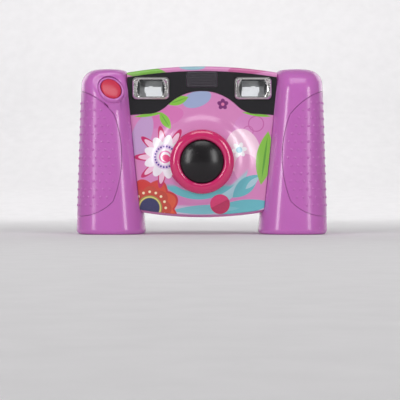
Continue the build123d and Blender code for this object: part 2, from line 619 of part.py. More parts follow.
def build():
    """Makes and writes every sub-part."""
    os.makedirs("parts", exist_ok=True)
    skin = grip_form()
    cavity = grip_form(GRIP_WALL)
    grips = both_sides(skin)
    pad = (skin - grip_form(PAD_DEPTH)) & prism(pad_outline(), -40, PAD_REAR)
    plane = shutter_plane()
    for side, name in ((-1, "left"), (1, "right")):
        front = on_side(side, grip_front_shell(skin, cavity, pad))
        if side < 0:
            front -= oval(plane, 2.05, -6.6, 20.0)
        write(f"{name}_grip_front", front)
        write(f"{name}_grip_rear", on_side(side, grip_rear_shell(skin, cavity, pad)))
        write(f"{name}_grip_pad", on_side(side, pad))
        write(f"{name}_battery_door", on_side(side, battery_door(skin, cavity)))
        write(f"{name}_door_screw", on_side(side, door_screw()))
        pin = bar(PIN_RADIUS, DOOR_X - HINGE_HALF, DOOR_X + HINGE_HALF, HINGE_Y, HINGE_Z)
        write(f"{name}_hinge_pin", on_side(side, pin))
        write(f"{name}_battery_tray", on_side(side, battery_tray()))
        write(f"{name}_batteries", on_side(side, joined([cell(-1), cell(1)])))
        write(f"{name}_contacts", on_side(side, contacts()))
        write(f"{name}_finder_bezel", finder_bezel(side * FINDER_X))
        write(f"{name}_finder_window", prism(barrel_lens_outline(0, side * FINDER_X), -19.6, -18.2))
        write(f"{name}_finder_tunnel", finder_tunnel(side * FINDER_X))
        write(f"{name}_eyepiece", prism(rounded(12.2, 9.2, 1.4, side * FINDER_X, FINDER_Z), 13.5, 15.4))
    for name, x, z in KEYS:
        write(name, key(x, z))
    form = body_form()
    write("front_shell", front_shell(form, grips))
    write("rear_shell", rear_shell(form, grips))
    write("face_plate", face_plate(grips))
    write("mask", mask(grips))
    flash_outline = rounded(FLASH_WIDTH, FLASH_HEIGHT, 1.0, 0, FLASH_Z)
    write("flash_window", prism(flash_outline, MASK_FRONT - 0.3, BODY_FRONT - 0.05))
    write("eyecup", eyecup(grips))
    write("lens_ring", lens_ring())
    write("lens_dome", lens_dome())
    write("lens_barrel", lens_barrel())
    write("shutter_bezel", shutter_bezel(plane))
    write("shutter_button", shutter_button(plane))
    write("shutter_switch", shutter_switch(plane))
    write("port_cover", port_cover())
    write("strap_lug", strap_lug())
    write("case_screws", case_screws())
    electronics()
    screen_parts()


build()
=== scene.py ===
"""Finished look of a rugged children's digital camera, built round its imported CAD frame."""

import json
import logging
import math
from dataclasses import dataclass
from enum import Enum
from typing import Callable, Iterable, Sequence

import bmesh
import bpy
from mathutils import Matrix, Vector

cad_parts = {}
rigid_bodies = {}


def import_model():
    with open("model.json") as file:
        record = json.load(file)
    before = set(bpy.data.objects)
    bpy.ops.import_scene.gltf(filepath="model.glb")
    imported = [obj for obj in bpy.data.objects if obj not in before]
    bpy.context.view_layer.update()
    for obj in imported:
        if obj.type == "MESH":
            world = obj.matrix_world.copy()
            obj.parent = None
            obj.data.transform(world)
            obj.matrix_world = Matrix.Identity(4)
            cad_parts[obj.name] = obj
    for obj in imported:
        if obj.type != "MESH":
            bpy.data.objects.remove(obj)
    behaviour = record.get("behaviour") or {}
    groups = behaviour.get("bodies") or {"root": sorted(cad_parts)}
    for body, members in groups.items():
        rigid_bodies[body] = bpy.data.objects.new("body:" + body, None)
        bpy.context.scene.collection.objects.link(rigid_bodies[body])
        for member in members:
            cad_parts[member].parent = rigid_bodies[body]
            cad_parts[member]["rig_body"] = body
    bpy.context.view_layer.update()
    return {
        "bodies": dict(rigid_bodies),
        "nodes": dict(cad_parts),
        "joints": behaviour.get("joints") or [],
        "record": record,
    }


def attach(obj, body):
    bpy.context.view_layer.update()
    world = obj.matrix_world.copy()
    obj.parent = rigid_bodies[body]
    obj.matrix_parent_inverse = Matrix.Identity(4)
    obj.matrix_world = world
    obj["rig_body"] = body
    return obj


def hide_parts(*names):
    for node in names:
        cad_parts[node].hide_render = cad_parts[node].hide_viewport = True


log = logging.getLogger("camera")
MM = 0.001
Point = tuple[float, float, float]
Flat = tuple[float, float]
Colour = tuple[float, float, float]
Inside = Callable[[float, float], bool]


def tint(red: int, green: int, blue: int) -> Colour:
    """Linear colour of an everyday 0 to 255 colour.

    Args:
        red: red part.
        green: green part.
        blue: blue part.

    Returns:
        The three linear values.
    """
    return tuple(((part / 255 + 0.055) / 1.055) ** 2.4 for part in (red, green, blue))


def opaque(colour: Colour) -> tuple[float, float, float, float]:
    """The colour with full opacity."""
    return (*colour, 1.0)


# ------------------------------------------------------------------ material sketching


class Field:
    """A number that varies over a surface; arithmetic on it adds Math nodes."""

    def __init__(self, sketch: "Sketch", socket: bpy.types.NodeSocket) -> None:
        """Wraps one output socket of a sketch."""
        self.sketch = sketch
        self.socket = socket

    def __add__(self, other: "Field | float") -> "Field":
        """Sum."""
        return self.sketch.maths("ADD", self, other)

    def __sub__(self, other: "Field | float") -> "Field":
        """Difference."""
        return self.sketch.maths("SUBTRACT", self, other)

    def __rsub__(self, other: float) -> "Field":
        """Difference from a plain number."""
        return self.sketch.maths("SUBTRACT", other, self)

    def __mul__(self, other: "Field | float") -> "Field":
        """Product."""
        return self.sketch.maths("MULTIPLY", self, other)

    def __truediv__(self, other: "Field | float") -> "Field":
        """Quotient."""
        return self.sketch.maths("DIVIDE", self, other)

    def size(self) -> "Field":
        """Absolute value."""
        return self.sketch.maths("ABSOLUTE", self)

    def lesser(self, other: "Field | float") -> "Field":
        """The smaller of two."""
        return self.sketch.maths("MINIMUM", self, other)

    def greater(self, other: "Field | float") -> "Field":
        """The larger of two."""
        return self.sketch.maths("MAXIMUM", self, other)

    def over(self, edge: float, blur: float = 0.25) -> "Field":
        """One where the number is above an edge, nought below, with a soft step.

        Args:
            edge: where the step lies.
            blur: half width of the step.

        Returns:
            The mask.
        """
        return self.sketch.step(self, edge - blur, edge + blur)


class Graph:
    """A node tree under construction."""

    def __init__(self, tree: bpy.types.NodeTree) -> None:
        """Wraps a tree."""
        self.tree = tree

    def feed(self, socket: bpy.types.NodeSocket, value: object) -> None:
        """Sets a socket, or links it when the value is an output.

        Args:
            socket: the input to set.
            value: a number, a colour, a field or an output.
        """
        if isinstance(value, Field):
            value = value.socket
        if isinstance(value, bpy.types.NodeSocket):
            self.tree.links.new(value, socket)
        elif isinstance(value, tuple) and len(value) == 3 and socket.type == "RGBA":
            socket.default_value = opaque(value)
        else:
            socket.default_value = value

    def node(self, kind: str, settings: dict | None = None, **inputs: object) -> bpy.types.Node:
        """Adds a node.

        Args:
            kind: node type.
            settings: node properties by name.
            inputs: values or outputs by socket name, with _ for a blank.

        Returns:
            The node.
        """
        made = self.tree.nodes.new(kind)
        for name, value in (settings or {}).items():
            setattr(made, name, value)
        for name, value in inputs.items():
            self.feed(made.inputs[name.replace("_", " ")], value)
        return made


class Sketch(Graph):
    """A node material under construction, in millimetres on the piece's own coordinates."""

    def __init__(self, name: str) -> None:
        """Starts an empty material with its principled shader.

        Args:
            name: name of the material.
        """
        self.material = bpy.data.materials.new(name)
        self.material.use_nodes = True
        super().__init__(self.material.node_tree)
        self.shader = self.tree.nodes["Principled BSDF"]
        coordinates = self.tree.nodes.new("ShaderNodeTexCoord")
        scaled = self.tree.nodes.new("ShaderNodeVectorMath")
        scaled.operation = "SCALE"
        scaled.inputs["Scale"].default_value = 1 / MM
        self.tree.links.new(coordinates.outputs["Object"], scaled.inputs[0])
        self.place = scaled.outputs["Vector"]

    def maths(self, operation: str, *values: "Field | float") -> Field:
        """One Math node on the values.

        Args:
            operation: name of the operation.
            values: its inputs, in order.

        Returns:
            The result.
        """
        made = self.node("ShaderNodeMath", {"operation": operation})
        for socket, value in zip(made.inputs, values):
            self.feed(socket, value)
        return Field(self, made.outputs[0])

    def step(self, value: Field, low: float, high: float) -> Field:
        """Smooth step of a field from nought at low to one at high.

        Args:
            value: the field.
            low: where the step starts.
            high: where it ends.

        Returns:
            The stepped field.
        """
        made = self.node("ShaderNodeMapRange", {"interpolation_type": "SMOOTHSTEP"})
        self.feed(made.inputs["Value"], value)
        made.inputs["From Min"].default_value = low
        made.inputs["From Max"].default_value = high
        return Field(self, made.outputs["Result"])

    def axes(self) -> tuple[Field, Field, Field]:
        """Place on the piece as three fields in millimetres."""
        split = self.node("ShaderNodeSeparateXYZ", Vector=self.place)
        return tuple(Field(self, socket) for socket in split.outputs)

    def noise(self, size: float, detail: float = 2.0) -> Field:
        """Soft noise between nought and one.

        Args:
            size: size of its blotches in millimetres.
            detail: octaves.

        Returns:
            The field.
        """
        made = self.node("ShaderNodeTexNoise", Vector=self.place, Scale=1 / size, Detail=detail)
        return Field(self, made.outputs["Fac"])

    def mixed(self, share: Field, under: object, upper: object) -> bpy.types.NodeSocket:
        """Colour that goes from one to another by a share.

        Args:
            share: nought for the first colour, one for the second.
            under: first colour.
            upper: second colour.

        Returns:
            Output of the mixed colour.
        """
        made = self.tree.nodes.new("ShaderNodeMix")
        made.data_type = "RGBA"
        self.feed(made.inputs[0], share)
        self.feed(made.inputs[6], under)
        self.feed(made.inputs[7], upper)
        return made.outputs[2]

    def relief(self, height: Field, depth: float, soften: float) -> None:
        """Gives the shader a bump over softened edges.

        Args:
            height: relief field.
            depth: its depth in millimetres.
            soften: radius of the rounded edges in millimetres.
        """
        rounded = self.node("ShaderNodeBevel", {"samples": 4})
        rounded.inputs["Radius"].default_value = soften * MM
        bump = self.node("ShaderNodeBump", Height=height, Normal=rounded.outputs[0])
        bump.inputs["Distance"].default_value = depth * MM
        self.tree.links.new(bump.outputs[0], self.shader.inputs["Normal"])

    def wear(self, colour: object, worn: Colour, share: float) -> bpy.types.NodeSocket:
        """Colour that lightens on rubbed edges.

        Args:
            colour: colour of the surface.
            worn: colour of its rubbed edges.
            share: how strongly they show.

        Returns:
            Output of the worn colour.
        """
        geometry = self.tree.nodes.new("ShaderNodeNewGeometry")
        edge = Field(self, geometry.outputs["Pointiness"])
        rubbed = self.step(edge, 0.515, 0.6) * self.noise(1.4, 3.0) * share
        return self.mixed(rubbed, colour, worn)


@dataclass(frozen=True)
class Finish:
    """A moulded or machined surface: colour, gloss, grain and worn edges."""

    name: str
    colour: Colour
    roughness: float = 0.3
    metallic: float = 0.0
    coat: float = 0.0
    transmission: float = 0.0
    ior: float = 1.46
    sheen: float = 0.0
    subsurface: float = 0.0
    grain: float = 0.012
    grain_size: float = 0.5
    mottle: float = 0.05
    worn: float = 0.25
    soften: float = 0.25
    coat_blur: float = 0.06

    def material(self) -> bpy.types.Material:
        """The node material of this finish, made once."""
        ready = bpy.data.materials.get(self.name)
        return ready if ready else self.make()

    def make(self) -> bpy.types.Material:
        """Builds the node material.

        Returns:
            The new material.
        """
        sketch = Sketch(self.name)
        self.surface(sketch, self.paint(sketch))
        return sketch.material

    def paint(self, sketch: Sketch) -> bpy.types.NodeSocket:
        """Colour of the surface: two close shades in soft clouds.

        Args:
            sketch: material under construction.

        Returns:
            Output of the colour.
        """
        dark = tuple(part * (1 - self.mottle) for part in self.colour)
        light = tuple(min(1.0, part * (1 + self.mottle) + 0.004) for part in self.colour)
        return sketch.mixed(sketch.noise(14.0, 3.0), dark, light)

    def surface(self, sketch: Sketch, colour: bpy.types.NodeSocket) -> None:
        """Sets the shader's gloss, grain and worn edges on a colour.

        Args:
            sketch: material under construction.
            colour: output of its colour.
        """
        worn = tuple(min(1.0, part * 1.25 + 0.06) for part in self.colour)
        sketch.feed(sketch.shader.inputs["Base Color"], sketch.wear(colour, worn, self.worn))
        smear = sketch.noise(6.0, 4.0) * 0.12 + (self.roughness - 0.05)
        sketch.feed(sketch.shader.inputs["Roughness"], smear.greater(0.02))
        fixed = {
            "Metallic": self.metallic,
            "Coat Weight": self.coat,
            "Coat Roughness": self.coat_blur,
            "Transmission Weight": self.transmission,
            "IOR": self.ior,
            "Sheen Weight": self.sheen,
            "Subsurface Weight": self.subsurface,
        }
        for name, value in fixed.items():
            sketch.shader.inputs[name].default_value = value
        sketch.shader.inputs["Subsurface Scale"].default_value = 2 * MM
        grain = sketch.noise(self.grain_size, 2.0) + sketch.noise(9.0, 1.0) * 0.6
        sketch.relief(grain, self.grain, self.soften)


@dataclass(frozen=True)
class BandedFinish(Finish):
    """A finish whose colour changes in bands up the piece, as on a battery sleeve."""

    levels: tuple[float, ...] = ()
    bands: tuple[Colour, ...] = ()

    def paint(self, sketch: Sketch) -> bpy.types.NodeSocket:
        """Base shade with each band laid above its level.

        Args:
            sketch: material under construction.

        Returns:
            Output of the colour.
        """
        colour = super().paint(sketch)
        height = sketch.axes()[2]
        for level, band in zip(self.levels, self.bands):
            colour = sketch.mixed(height.over(level, 0.05), colour, band)
        return colour


@dataclass(frozen=True)
class BoardFinish(Finish):
    """Solder mask over etched copper tracks."""

    def paint(self, sketch: Sketch) -> bpy.types.NodeSocket:
        """Tracks along both axes under the green.

        Args:
            sketch: material under construction.

        Returns:
            Output of the colour.
        """
        across, _, up = sketch.axes()
        wander = sketch.noise(9.0, 1.0) * 3.0
        tracks = sketch.maths("PINGPONG", across + wander, 0.9).lesser(
            sketch.maths("PINGPONG", up - wander, 1.3)
        )
        light = tuple(part * 1.7 + 0.01 for part in self.colour)
        return sketch.mixed(1.0 - tracks.over(0.12, 0.05), super().paint(sketch), light)


class FlowerPrint:
    """Printed garden on the face: flowers, leaves, ribbons and dots drawn by rule."""

    def __init__(self, sketch: Sketch) -> None:
        """Starts from the pale ground colour.

        Args:
            sketch: material that is printed on.
        """
        self.sketch = sketch
        self.across, _, self.up = sketch.axes()
        cloud = sketch.noise(20.0, 2.0)
        self.colour = sketch.mixed(cloud, tint(218, 138, 192), tint(212, 126, 186))

    def lay(self, mask: Field, colour: Colour) -> None:
        """Prints a colour where a mask is one."""
        self.colour = self.sketch.mixed(mask, self.colour, colour)

    def turned(self, centre: Flat, degrees: float) -> tuple[Field, Field]:
        """Coordinates along and across an axis turned about a point.

        Args:
            centre: the point.
            degrees: turn of the axis.

        Returns:
            Distances along and across the axis.
        """
        cosine, sine = math.cos(math.radians(degrees)), math.sin(math.radians(degrees))
        x, z = self.across - centre[0], self.up - centre[1]
        return x * cosine + z * sine, z * cosine - x * sine

    def distance(self, centre: Flat) -> Field:
        """Distance from a point."""
        x, z = self.across - centre[0], self.up - centre[1]
        return self.sketch.maths("SQRT", x * x + z * z)

    def disc(self, centre: Flat, radius: float) -> Field:
        """Mask of a disc."""
        return (radius - self.distance(centre)).over(0, 0.2)

    def hoop(self, centre: Flat, radius: float, width: float) -> Field:
        """Mask of a ring line."""
        return (width - (self.distance(centre) - radius).size()).over(0, 0.2)

    def shares(self, centre: Flat, degrees: float, length: float, width: float) -> tuple[Field, Field]:
        """Turned coordinates as shares of a half length and a half width."""
        along, side = self.turned(centre, degrees)
        return along / length, side / width

    def leaf(self, centre: Flat, degrees: float, length: float, width: float) -> Field:
        """Mask of a pointed leaf, by half length and half width.

        Args:
            centre: its middle.
            degrees: turn of its length.
            length: half length in millimetres.
            width: half width in millimetres.

        Returns:
            The mask.
        """
        along, side = self.shares(centre, degrees, length, width)
        return (1.0 - along * along - side.size()).over(0, 0.06)

    def oval(self, centre: Flat, degrees: float, length: float, width: float) -> Field:
        """Mask of an ellipse, by half axes.

        Args:
            centre: its middle.
            degrees: turn of its length.
            length: half length in millimetres.
            width: half width in millimetres.

        Returns:
            The mask.
        """
        along, side = self.shares(centre, degrees, length, width)
        return (1.0 - along * along - side * side).over(0, 0.05)

    def petals(
        self, centre: Flat, count: int, tip: float, dip: float, round_tips: bool, turn: float
    ) -> Field:
        """How far inside a flower's outline each place lies, in millimetres.

        Args:
            centre: middle of the flower.
            count: number of petals.
            tip: radius at the petal tips.
            dip: radius between petals.
            round_tips: scalloped rather than pointed.
            turn: angle of a tip in degrees.

        Returns:
            The signed depth.
        """
        x, z = self.across - centre[0], self.up - centre[1]
        angle = self.sketch.maths("ARCTAN2", z, x) - math.radians(turn)
        swing = self.sketch.maths("COSINE", angle * float(count)) * 0.5 + 0.5
        shape = self.sketch.maths("POWER", swing.greater(0.0), 0.55 if round_tips else 1.35)
        return shape * (tip - dip) + dip - self.distance(centre)

    def dotted(self, centre: Flat, radius: float, count: int, dot: float) -> Field:
        """Mask of a ring of dots.

        Args:
            centre: middle of the ring.
            radius: its radius.
            count: number of dots.
            dot: radius of a dot.

        Returns:
            The mask.
        """
        x, z = self.across - centre[0], self.up - centre[1]
        angle = self.sketch.maths("ARCTAN2", z, x)
        along = self.sketch.maths("PINGPONG", angle * (count / math.tau) + 8.0, 0.5)
        along = along * (math.tau * radius / count)
        apart = self.distance(centre) - radius
        return (dot - self.sketch.maths("SQRT", along * along + apart * apart)).over(0, 0.15)

    def blossom(self) -> None:
        """Large pointed flower beside the lens."""
        centre = (-22.3, 47.2)
        depth = self.petals(centre, 9, 19.2, 8.8, False, 60)
        self.lay(depth.over(0), tint(198, 14, 100))
        self.lay(depth.over(2.7, 0.3), tint(244, 196, 222))
        self.lay(self.petals(centre, 9, 14.0, 9.4, True, 40).over(0.6), tint(244, 238, 246))
        self.lay(self.hoop(centre, 6.3, 1.3), tint(222, 196, 232))
        self.lay(self.dotted(centre, 6.3, 22, 0.62), tint(82, 40, 150))
        self.lay(self.hoop(centre, 3.4, 0.45), tint(232, 110, 176))
        self.lay(self.oval((-21.6, 46.4), -30, 2.7, 2.0), tint(236, 60, 130))

    def poppy(self) -> None:
        """Scalloped red flower at the lower edge."""
        centre = (-31.9, 16.2)
        depth = self.petals(centre, 8, 18.2, 15.2, True, 20)
        self.lay(depth.over(0), tint(206, 42, 44))
        warm = self.sketch.step(self.across, -34.0, -12.0)
        fiery = self.sketch.mixed(warm, tint(208, 34, 32), tint(226, 92, 46))
        self.colour = self.sketch.mixed(depth.over(1.4, 0.5), self.colour, fiery)
        self.lay(self.petals(centre, 8, 13.4, 11.6, True, 42).over(0), tint(196, 62, 40))
        self.lay(self.dotted(centre, 9.8, 16, 0.8), tint(250, 232, 190))
        self.lay(self.disc(centre, 7.6), tint(150, 142, 70))
        self.lay(self.hoop(centre, 6.6, 0.35), tint(226, 214, 120))
        self.lay(self.disc(centre, 6.0), tint(34, 36, 92))

    def ribbons(self) -> None:
        """Teal ribbons that curl under the lens."""
        teal, pale = tint(98, 186, 196), tint(170, 208, 220)
        lens = (0.0, 44.2)
        sweep = self.hoop(lens, 25.4, 3.0) * (14.0 - self.up + self.across * 0.9).over(0, 1.5)
        sweep = sweep * (self.across + 22.0).over(0, 1.5)
        self.lay(sweep, pale)
        low = self.hoop((-2.0, 52.0), 28.5, 2.2) * (30.0 - self.up).over(0, 1.5)
        self.lay(low, teal)
        self.lay(self.leaf((26.4, 29.4), 42, 10.5, 4.6), teal)
        self.lay(self.leaf((30.6, 31.4), 42, 5.6, 1.7), pale)
        self.lay(self.leaf((24.0, 16.6), 8, 20.0, 4.4), teal)
        self.lay(self.leaf((2.0, 15.2), 2, 21.0, 2.8), tint(122, 192, 204))

    def ground(self) -> None:
        """Soft patches behind the flowers."""
        self.lay(self.oval((-25.0, 71.5), 12, 14.0, 6.5), tint(214, 116, 182))
        self.lay(self.oval((-3.0, 82.6), 20, 9.0, 5.0), tint(156, 170, 208))
        self.lay(self.oval((-37.0, 60.0), 70, 14.0, 6.0), tint(196, 158, 206))
        self.lay(self.oval((31.0, 66.0), 30, 13.0, 9.5), tint(214, 134, 196))
        self.lay(self.hoop((33.0, 67.5), 4.6, 0.3), tint(196, 96, 166))
        self.lay(self.hoop((28.2, 63.0), 3.0, 0.25), tint(196, 96, 166))
        self.lay(self.oval((25.0, 50.0), 100, 14.5, 10.8), tint(240, 200, 222))
        self.lay(self.oval((27.0, 40.0), 95, 9.0, 7.5), tint(232, 160, 206))
        shore = (16.0 - self.up + self.sketch.noise(18.0, 1.0) * 3.0).over(0, 0.8)
        self.lay(shore, tint(206, 186, 214))

    def sprigs(self) -> None:
        """Green leaves, the berry and the small blooms."""
        green, deep = tint(132, 196, 62), tint(92, 162, 48)
        for centre, angle, length, width in (
            ((-14.4, 81.6), 20, 6.6, 2.6),
            ((-22.4, 69.4), -58, 6.2, 2.6),
            ((38.2, 46.6), 82, 16.5, 5.2),
            ((-32.5, 73.0), 8, 9.0, 1.1),
            ((33.5, 73.2), -8, 9.0, 1.1),
        ):
            self.lay(self.leaf(centre, angle, length, width), green)
            self.lay(self.leaf(centre, angle, length * 0.8, width * 0.12), deep)
        berry = (11.0, 18.4)
        lit = (self.up - self.across * 0.5 - 13.4).over(0)
        self.lay(self.disc(berry, 6.0), tint(190, 20, 86))
        self.lay(self.disc(berry, 6.0) * lit, tint(222, 44, 112))
        for centre, count, tip, dip, turn, petal, heart, middle in (
            ((22.6, 51.4), 6, 4.8, 2.6, 10, tint(250, 250, 252), 1.9, tint(160, 208, 226)),
            ((12.7, 79.4), 5, 3.5, 2.3, 18, tint(120, 34, 112), 1.0, tint(226, 120, 170)),
        ):
            self.lay(self.petals(centre, count, tip, dip, True, turn).over(0), petal)
            self.lay(self.disc(centre, heart), middle)

    def draw(self) -> bpy.types.NodeSocket:
        """Prints everything in order.

        Returns:
            Output of the finished picture.
        """
        self.ground()
        self.ribbons()
        self.poppy()
        self.blossom()
        self.sprigs()
        return self.colour


@dataclass(frozen=True)
class PrintedFinish(Finish):
    """Gloss moulding with the printed garden under its lacquer."""

    def paint(self, sketch: Sketch) -> bpy.types.NodeSocket:
        """The printed picture with a fine dot screen in its inks.

        Args:
            sketch: material under construction.

        Returns:
            Output of the colour.
        """
        picture = FlowerPrint(sketch).draw()
        dots = sketch.noise(0.35, 1.0) * 0.05
        return sketch.mixed(dots, picture, tint(250, 236, 246))


@dataclass(frozen=True)
class EdgePrintFinish(Finish):
    """Pink moulding with leaf green wrapped over one shoulder."""

    def paint(self, sketch: Sketch) -> bpy.types.NodeSocket:
        """Green patch on the left shoulder and a deeper pink on the right.

        Args:
            sketch: material under construction.

        Returns:
            Output of the colour.
        """
        ink = FlowerPrint(sketch)
        ink.colour = super().paint(sketch)
        deep = (sketch.axes()[1] + 17.0) / 9.0
        for centre, angle, length, width, shade in (
            ((-36.0, 99.5), -8, 15.0, 4.0, tint(124, 186, 72)),
            ((30.0, 101.5), 6, 14.0, 3.4, tint(206, 104, 160)),
            ((-6.0, 102.5), 0, 8.0, 2.0, tint(150, 190, 206)),
        ):
            along, side = ink.shares(centre, angle, length, width)
            patch = (1.0 - along * along - side * side - deep * deep).over(0, 0.08)
            ink.lay(patch, shade)
        return ink.colour


@dataclass(frozen=True)
class DisplayFinish(Finish):
    """Dark switched-off display with its fine upright stripes."""

    def paint(self, sketch: Sketch) -> bpy.types.NodeSocket:
        """Blue-black glass, a touch lighter toward the middle.

        Args:
            sketch: material under construction.

        Returns:
            Output of the colour.
        """
        across, _, up = sketch.axes()
        stripes = sketch.maths("PINGPONG", across, 0.12) * 2.5
        shade = sketch.mixed(stripes, self.colour, tuple(part * 1.6 for part in self.colour))
        border = (across.size() / 19.0).greater((up - 44.5).size() / 14.2)
        return sketch.mixed(border.over(0.97, 0.02), shade, (0.004, 0.004, 0.005))


class Look(Enum):
    """The finishes of this camera."""

    GRIP = Finish(
        "orchid_moulding", tint(198, 108, 190), 0.24, coat=0.45, subsurface=0.06, grain=0.01, coat_blur=0.09
    )
    PAD = Finish(
        "orchid_soft_touch", tint(194, 103, 186), 0.3, coat=0.25, sheen=0.06, grain=0.015, coat_blur=0.14
    )
    SHELL = EdgePrintFinish("pink_shell", tint(222, 142, 196), 0.24, coat=0.5)
    FACE = PrintedFinish(
        "printed_garden", tint(226, 152, 204), 0.22, coat=0.6, grain=0.008, worn=0.1, coat_blur=0.15
    )
    BLACK = Finish("gloss_black", (0.012, 0.011, 0.014), 0.1, coat=0.6, grain=0.006, worn=0.1)
    RING = Finish("magenta_gloss", tint(206, 34, 104), 0.12, coat=0.8, subsurface=0.05, grain=0.006)
    SMOKED = Finish("smoked_window", (0.016, 0.013, 0.016), 0.24, transmission=0.5, grain=0.002)
    CLEAR = Finish("clear_window", (0.93, 0.95, 0.96), 0.02, transmission=1.0, grain=0.001, mottle=0.01)
    BEZEL = Finish("silvery_bezel", (0.72, 0.71, 0.70), 0.16, metallic=0.9, coat=0.3, grain=0.0015, worn=0.1)
    FLASH = Finish("ribbed_flash", (0.05, 0.042, 0.056), 0.2, transmission=0.2, coat=0.4, grain=0.004)
    RED = Finish("shutter_red", tint(150, 8, 34), 0.1, coat=0.15, ior=1.4, grain=0.006, coat_blur=0.03)
    KEY = Finish("key_pink", tint(204, 70, 150), 0.34, grain=0.014)
    SYMBOL = Finish("key_symbol", tint(250, 240, 248), 0.4, grain=0.008)
    RUBBER = Finish("black_rubber", (0.014, 0.013, 0.015), 0.6, sheen=0.04, grain=0.03, grain_size=0.35)
    DARK = Finish("dark_moulding", (0.035, 0.035, 0.04), 0.4, grain=0.015)
    TUNNEL = Finish("tunnel_grey", (0.045, 0.045, 0.048), 0.32, grain=0.01)
    GREY = Finish("grey_moulding", (0.22, 0.22, 0.235), 0.42, grain=0.015)
    GLASS = Finish("display_window", (0.7, 0.72, 0.75), 0.03, transmission=0.95, grain=0.001)
    DISPLAY = DisplayFinish("dark_display", (0.007, 0.009, 0.017), 0.16)
    STEEL = Finish("zinc_steel", (0.56, 0.56, 0.58), 0.3, metallic=1.0, grain=0.01, worn=0.5)
    NICKEL = Finish("nickel_strip", (0.66, 0.63, 0.56), 0.2, metallic=1.0, grain=0.006)
    REFLECTOR = Finish("bright_reflector", (0.8, 0.8, 0.82), 0.1, metallic=1.0, grain=0.004)
    BOARD = BoardFinish("solder_mask", (0.012, 0.11, 0.04), 0.28, coat=0.3)
    CHIP = Finish("chip_epoxy", (0.02, 0.02, 0.023), 0.5, grain=0.01)
    CELL = BandedFinish(
        "cell_sleeve", (0.03, 0.03, 0.036), 0.18, coat=0.5,
        levels=(44.0, 60.5), bands=(tint(206, 140, 60), (0.5, 0.5, 0.5)),
    )

    def material(self) -> bpy.types.Material:
        """The node material of this finish."""
        return self.value.material()


# ------------------------------------------------------------------ mesh work


def linked(name: str, data: bpy.types.ID) -> bpy.types.Object:
    """A new object in the scene that shows the data.

    Args:
        name: object name.
        data: mesh, lamp or camera.

    Returns:
        The object.
    """
    made = bpy.data.objects.new(name, data)
    bpy.context.scene.collection.objects.link(made)
    return made


def mesh_object(
    name: str, points: Iterable[Sequence[float]], faces: Iterable[Sequence[int]]
) -> bpy.types.Object:
    """A mesh piece from points in millimetres.

    Args:
        name: object name.
        points: corners in millimetres.
        faces: corner numbers of each face.

    Returns:
        The linked object.
    """
    mesh = bpy.data.meshes.new(name)
    corners = [tuple(part * MM for part in point) for point in points]
    mesh.from_pydata(corners, [], [tuple(face) for face in faces])
    piece = linked(name, mesh)
    tidy(piece)
    return piece


def tidy(piece: bpy.types.Object, outward: bool = True) -> None:
    """Merges doubles and, on a closed piece, turns its faces outward.

    Args:
        piece: the mesh.
        outward: turns the faces, which needs a closed piece.
    """
    work = bmesh.new()
    work.from_mesh(piece.data)
    bmesh.ops.remove_doubles(work, verts=work.verts, dist=2e-6)
    bmesh.ops.dissolve_degenerate(work, edges=work.edges, dist=1e-6)
    if outward:
        bmesh.ops.recalc_face_normals(work, faces=work.faces)
    work.to_mesh(piece.data)
    work.free()


def settle(piece: bpy.types.Object) -> bpy.types.Object:
    """Turns a piece and its modifiers into a plain mesh.

    Args:
        piece: an object with modifiers.

    Returns:
        The same object with its plain mesh.
    """
    graph = bpy.context.evaluated_depsgraph_get()
    mesh = bpy.data.meshes.new_from_object(piece.evaluated_get(graph))
    piece.modifiers.clear()
    piece.data = mesh
    return piece


def drop(piece: bpy.types.Object) -> None:
    """Deletes a helper object."""
    bpy.data.objects.remove(piece)


def combine(
    piece: bpy.types.Object, tool: bpy.types.Object, how: str, keep: bool = False
) -> bpy.types.Object:
    """Cuts, joins or intersects a piece with a tool.

    Args:
        piece: the piece that changes.
        tool: the other solid.
        how: DIFFERENCE, UNION or INTERSECT.
        keep: leaves the tool for another use.

    Returns:
        The changed piece.
    """
    cut = piece.modifiers.new("cut", "BOOLEAN")
    cut.object = tool
    cut.operation = how
    cut.solver = "EXACT"
    settle(piece)
    if not keep:
        drop(tool)
    return piece


def copied(piece: bpy.types.Object, name: str) -> bpy.types.Object:
    """A separate copy of a piece."""
    return linked(name, piece.data.copy())


def reflected(piece: bpy.types.Object, name: str) -> bpy.types.Object:
    """The piece's mirror image across the middle of the camera.

    Args:
        piece: the piece.
        name: name of the new piece.

    Returns:
        The mirror image.
    """
    twin = copied(piece, name)
    twin.data.transform(Matrix.Scale(-1, 4, (1, 0, 0)))
    twin.data.flip_normals()
    return twin


def merged(pieces: Sequence[bpy.types.Object], name: str) -> bpy.types.Object:
    """Several meshes as one piece, with their materials.

    Args:
        pieces: the meshes, which are deleted.
        name: object name.

    Returns:
        The whole.
    """
    points: list[Vector] = []
    faces: list[tuple[int, ...]] = []
    looks: list[bpy.types.Material] = []
    marks: list[int] = []
    for piece in pieces:
        start = len(points)
        points.extend(vertex.co / MM for vertex in piece.data.vertices)
        for face in piece.data.polygons:
            faces.append(tuple(start + corner for corner in face.vertices))
            look = piece.data.materials[face.material_index] if piece.data.materials else None
            if look not in looks:
                looks.append(look)
            marks.append(looks.index(look))
    mesh = bpy.data.meshes.new(name)
    mesh.from_pydata([tuple(point * MM) for point in points], [], faces)
    for look in looks:
        mesh.materials.append(look)
    mesh.polygons.foreach_set("material_index", marks)
    whole = linked(name, mesh)
    for piece in pieces:
        drop(piece)
    return whole


def painted(piece: bpy.types.Object, look: Look) -> bpy.types.Object:
    """Gives the whole piece one finish.

    Args:
        piece: the piece.
        look: its finish.

    Returns:
        The piece.
    """
    piece.data.materials.clear()
    piece.data.materials.append(look.material())
    return piece


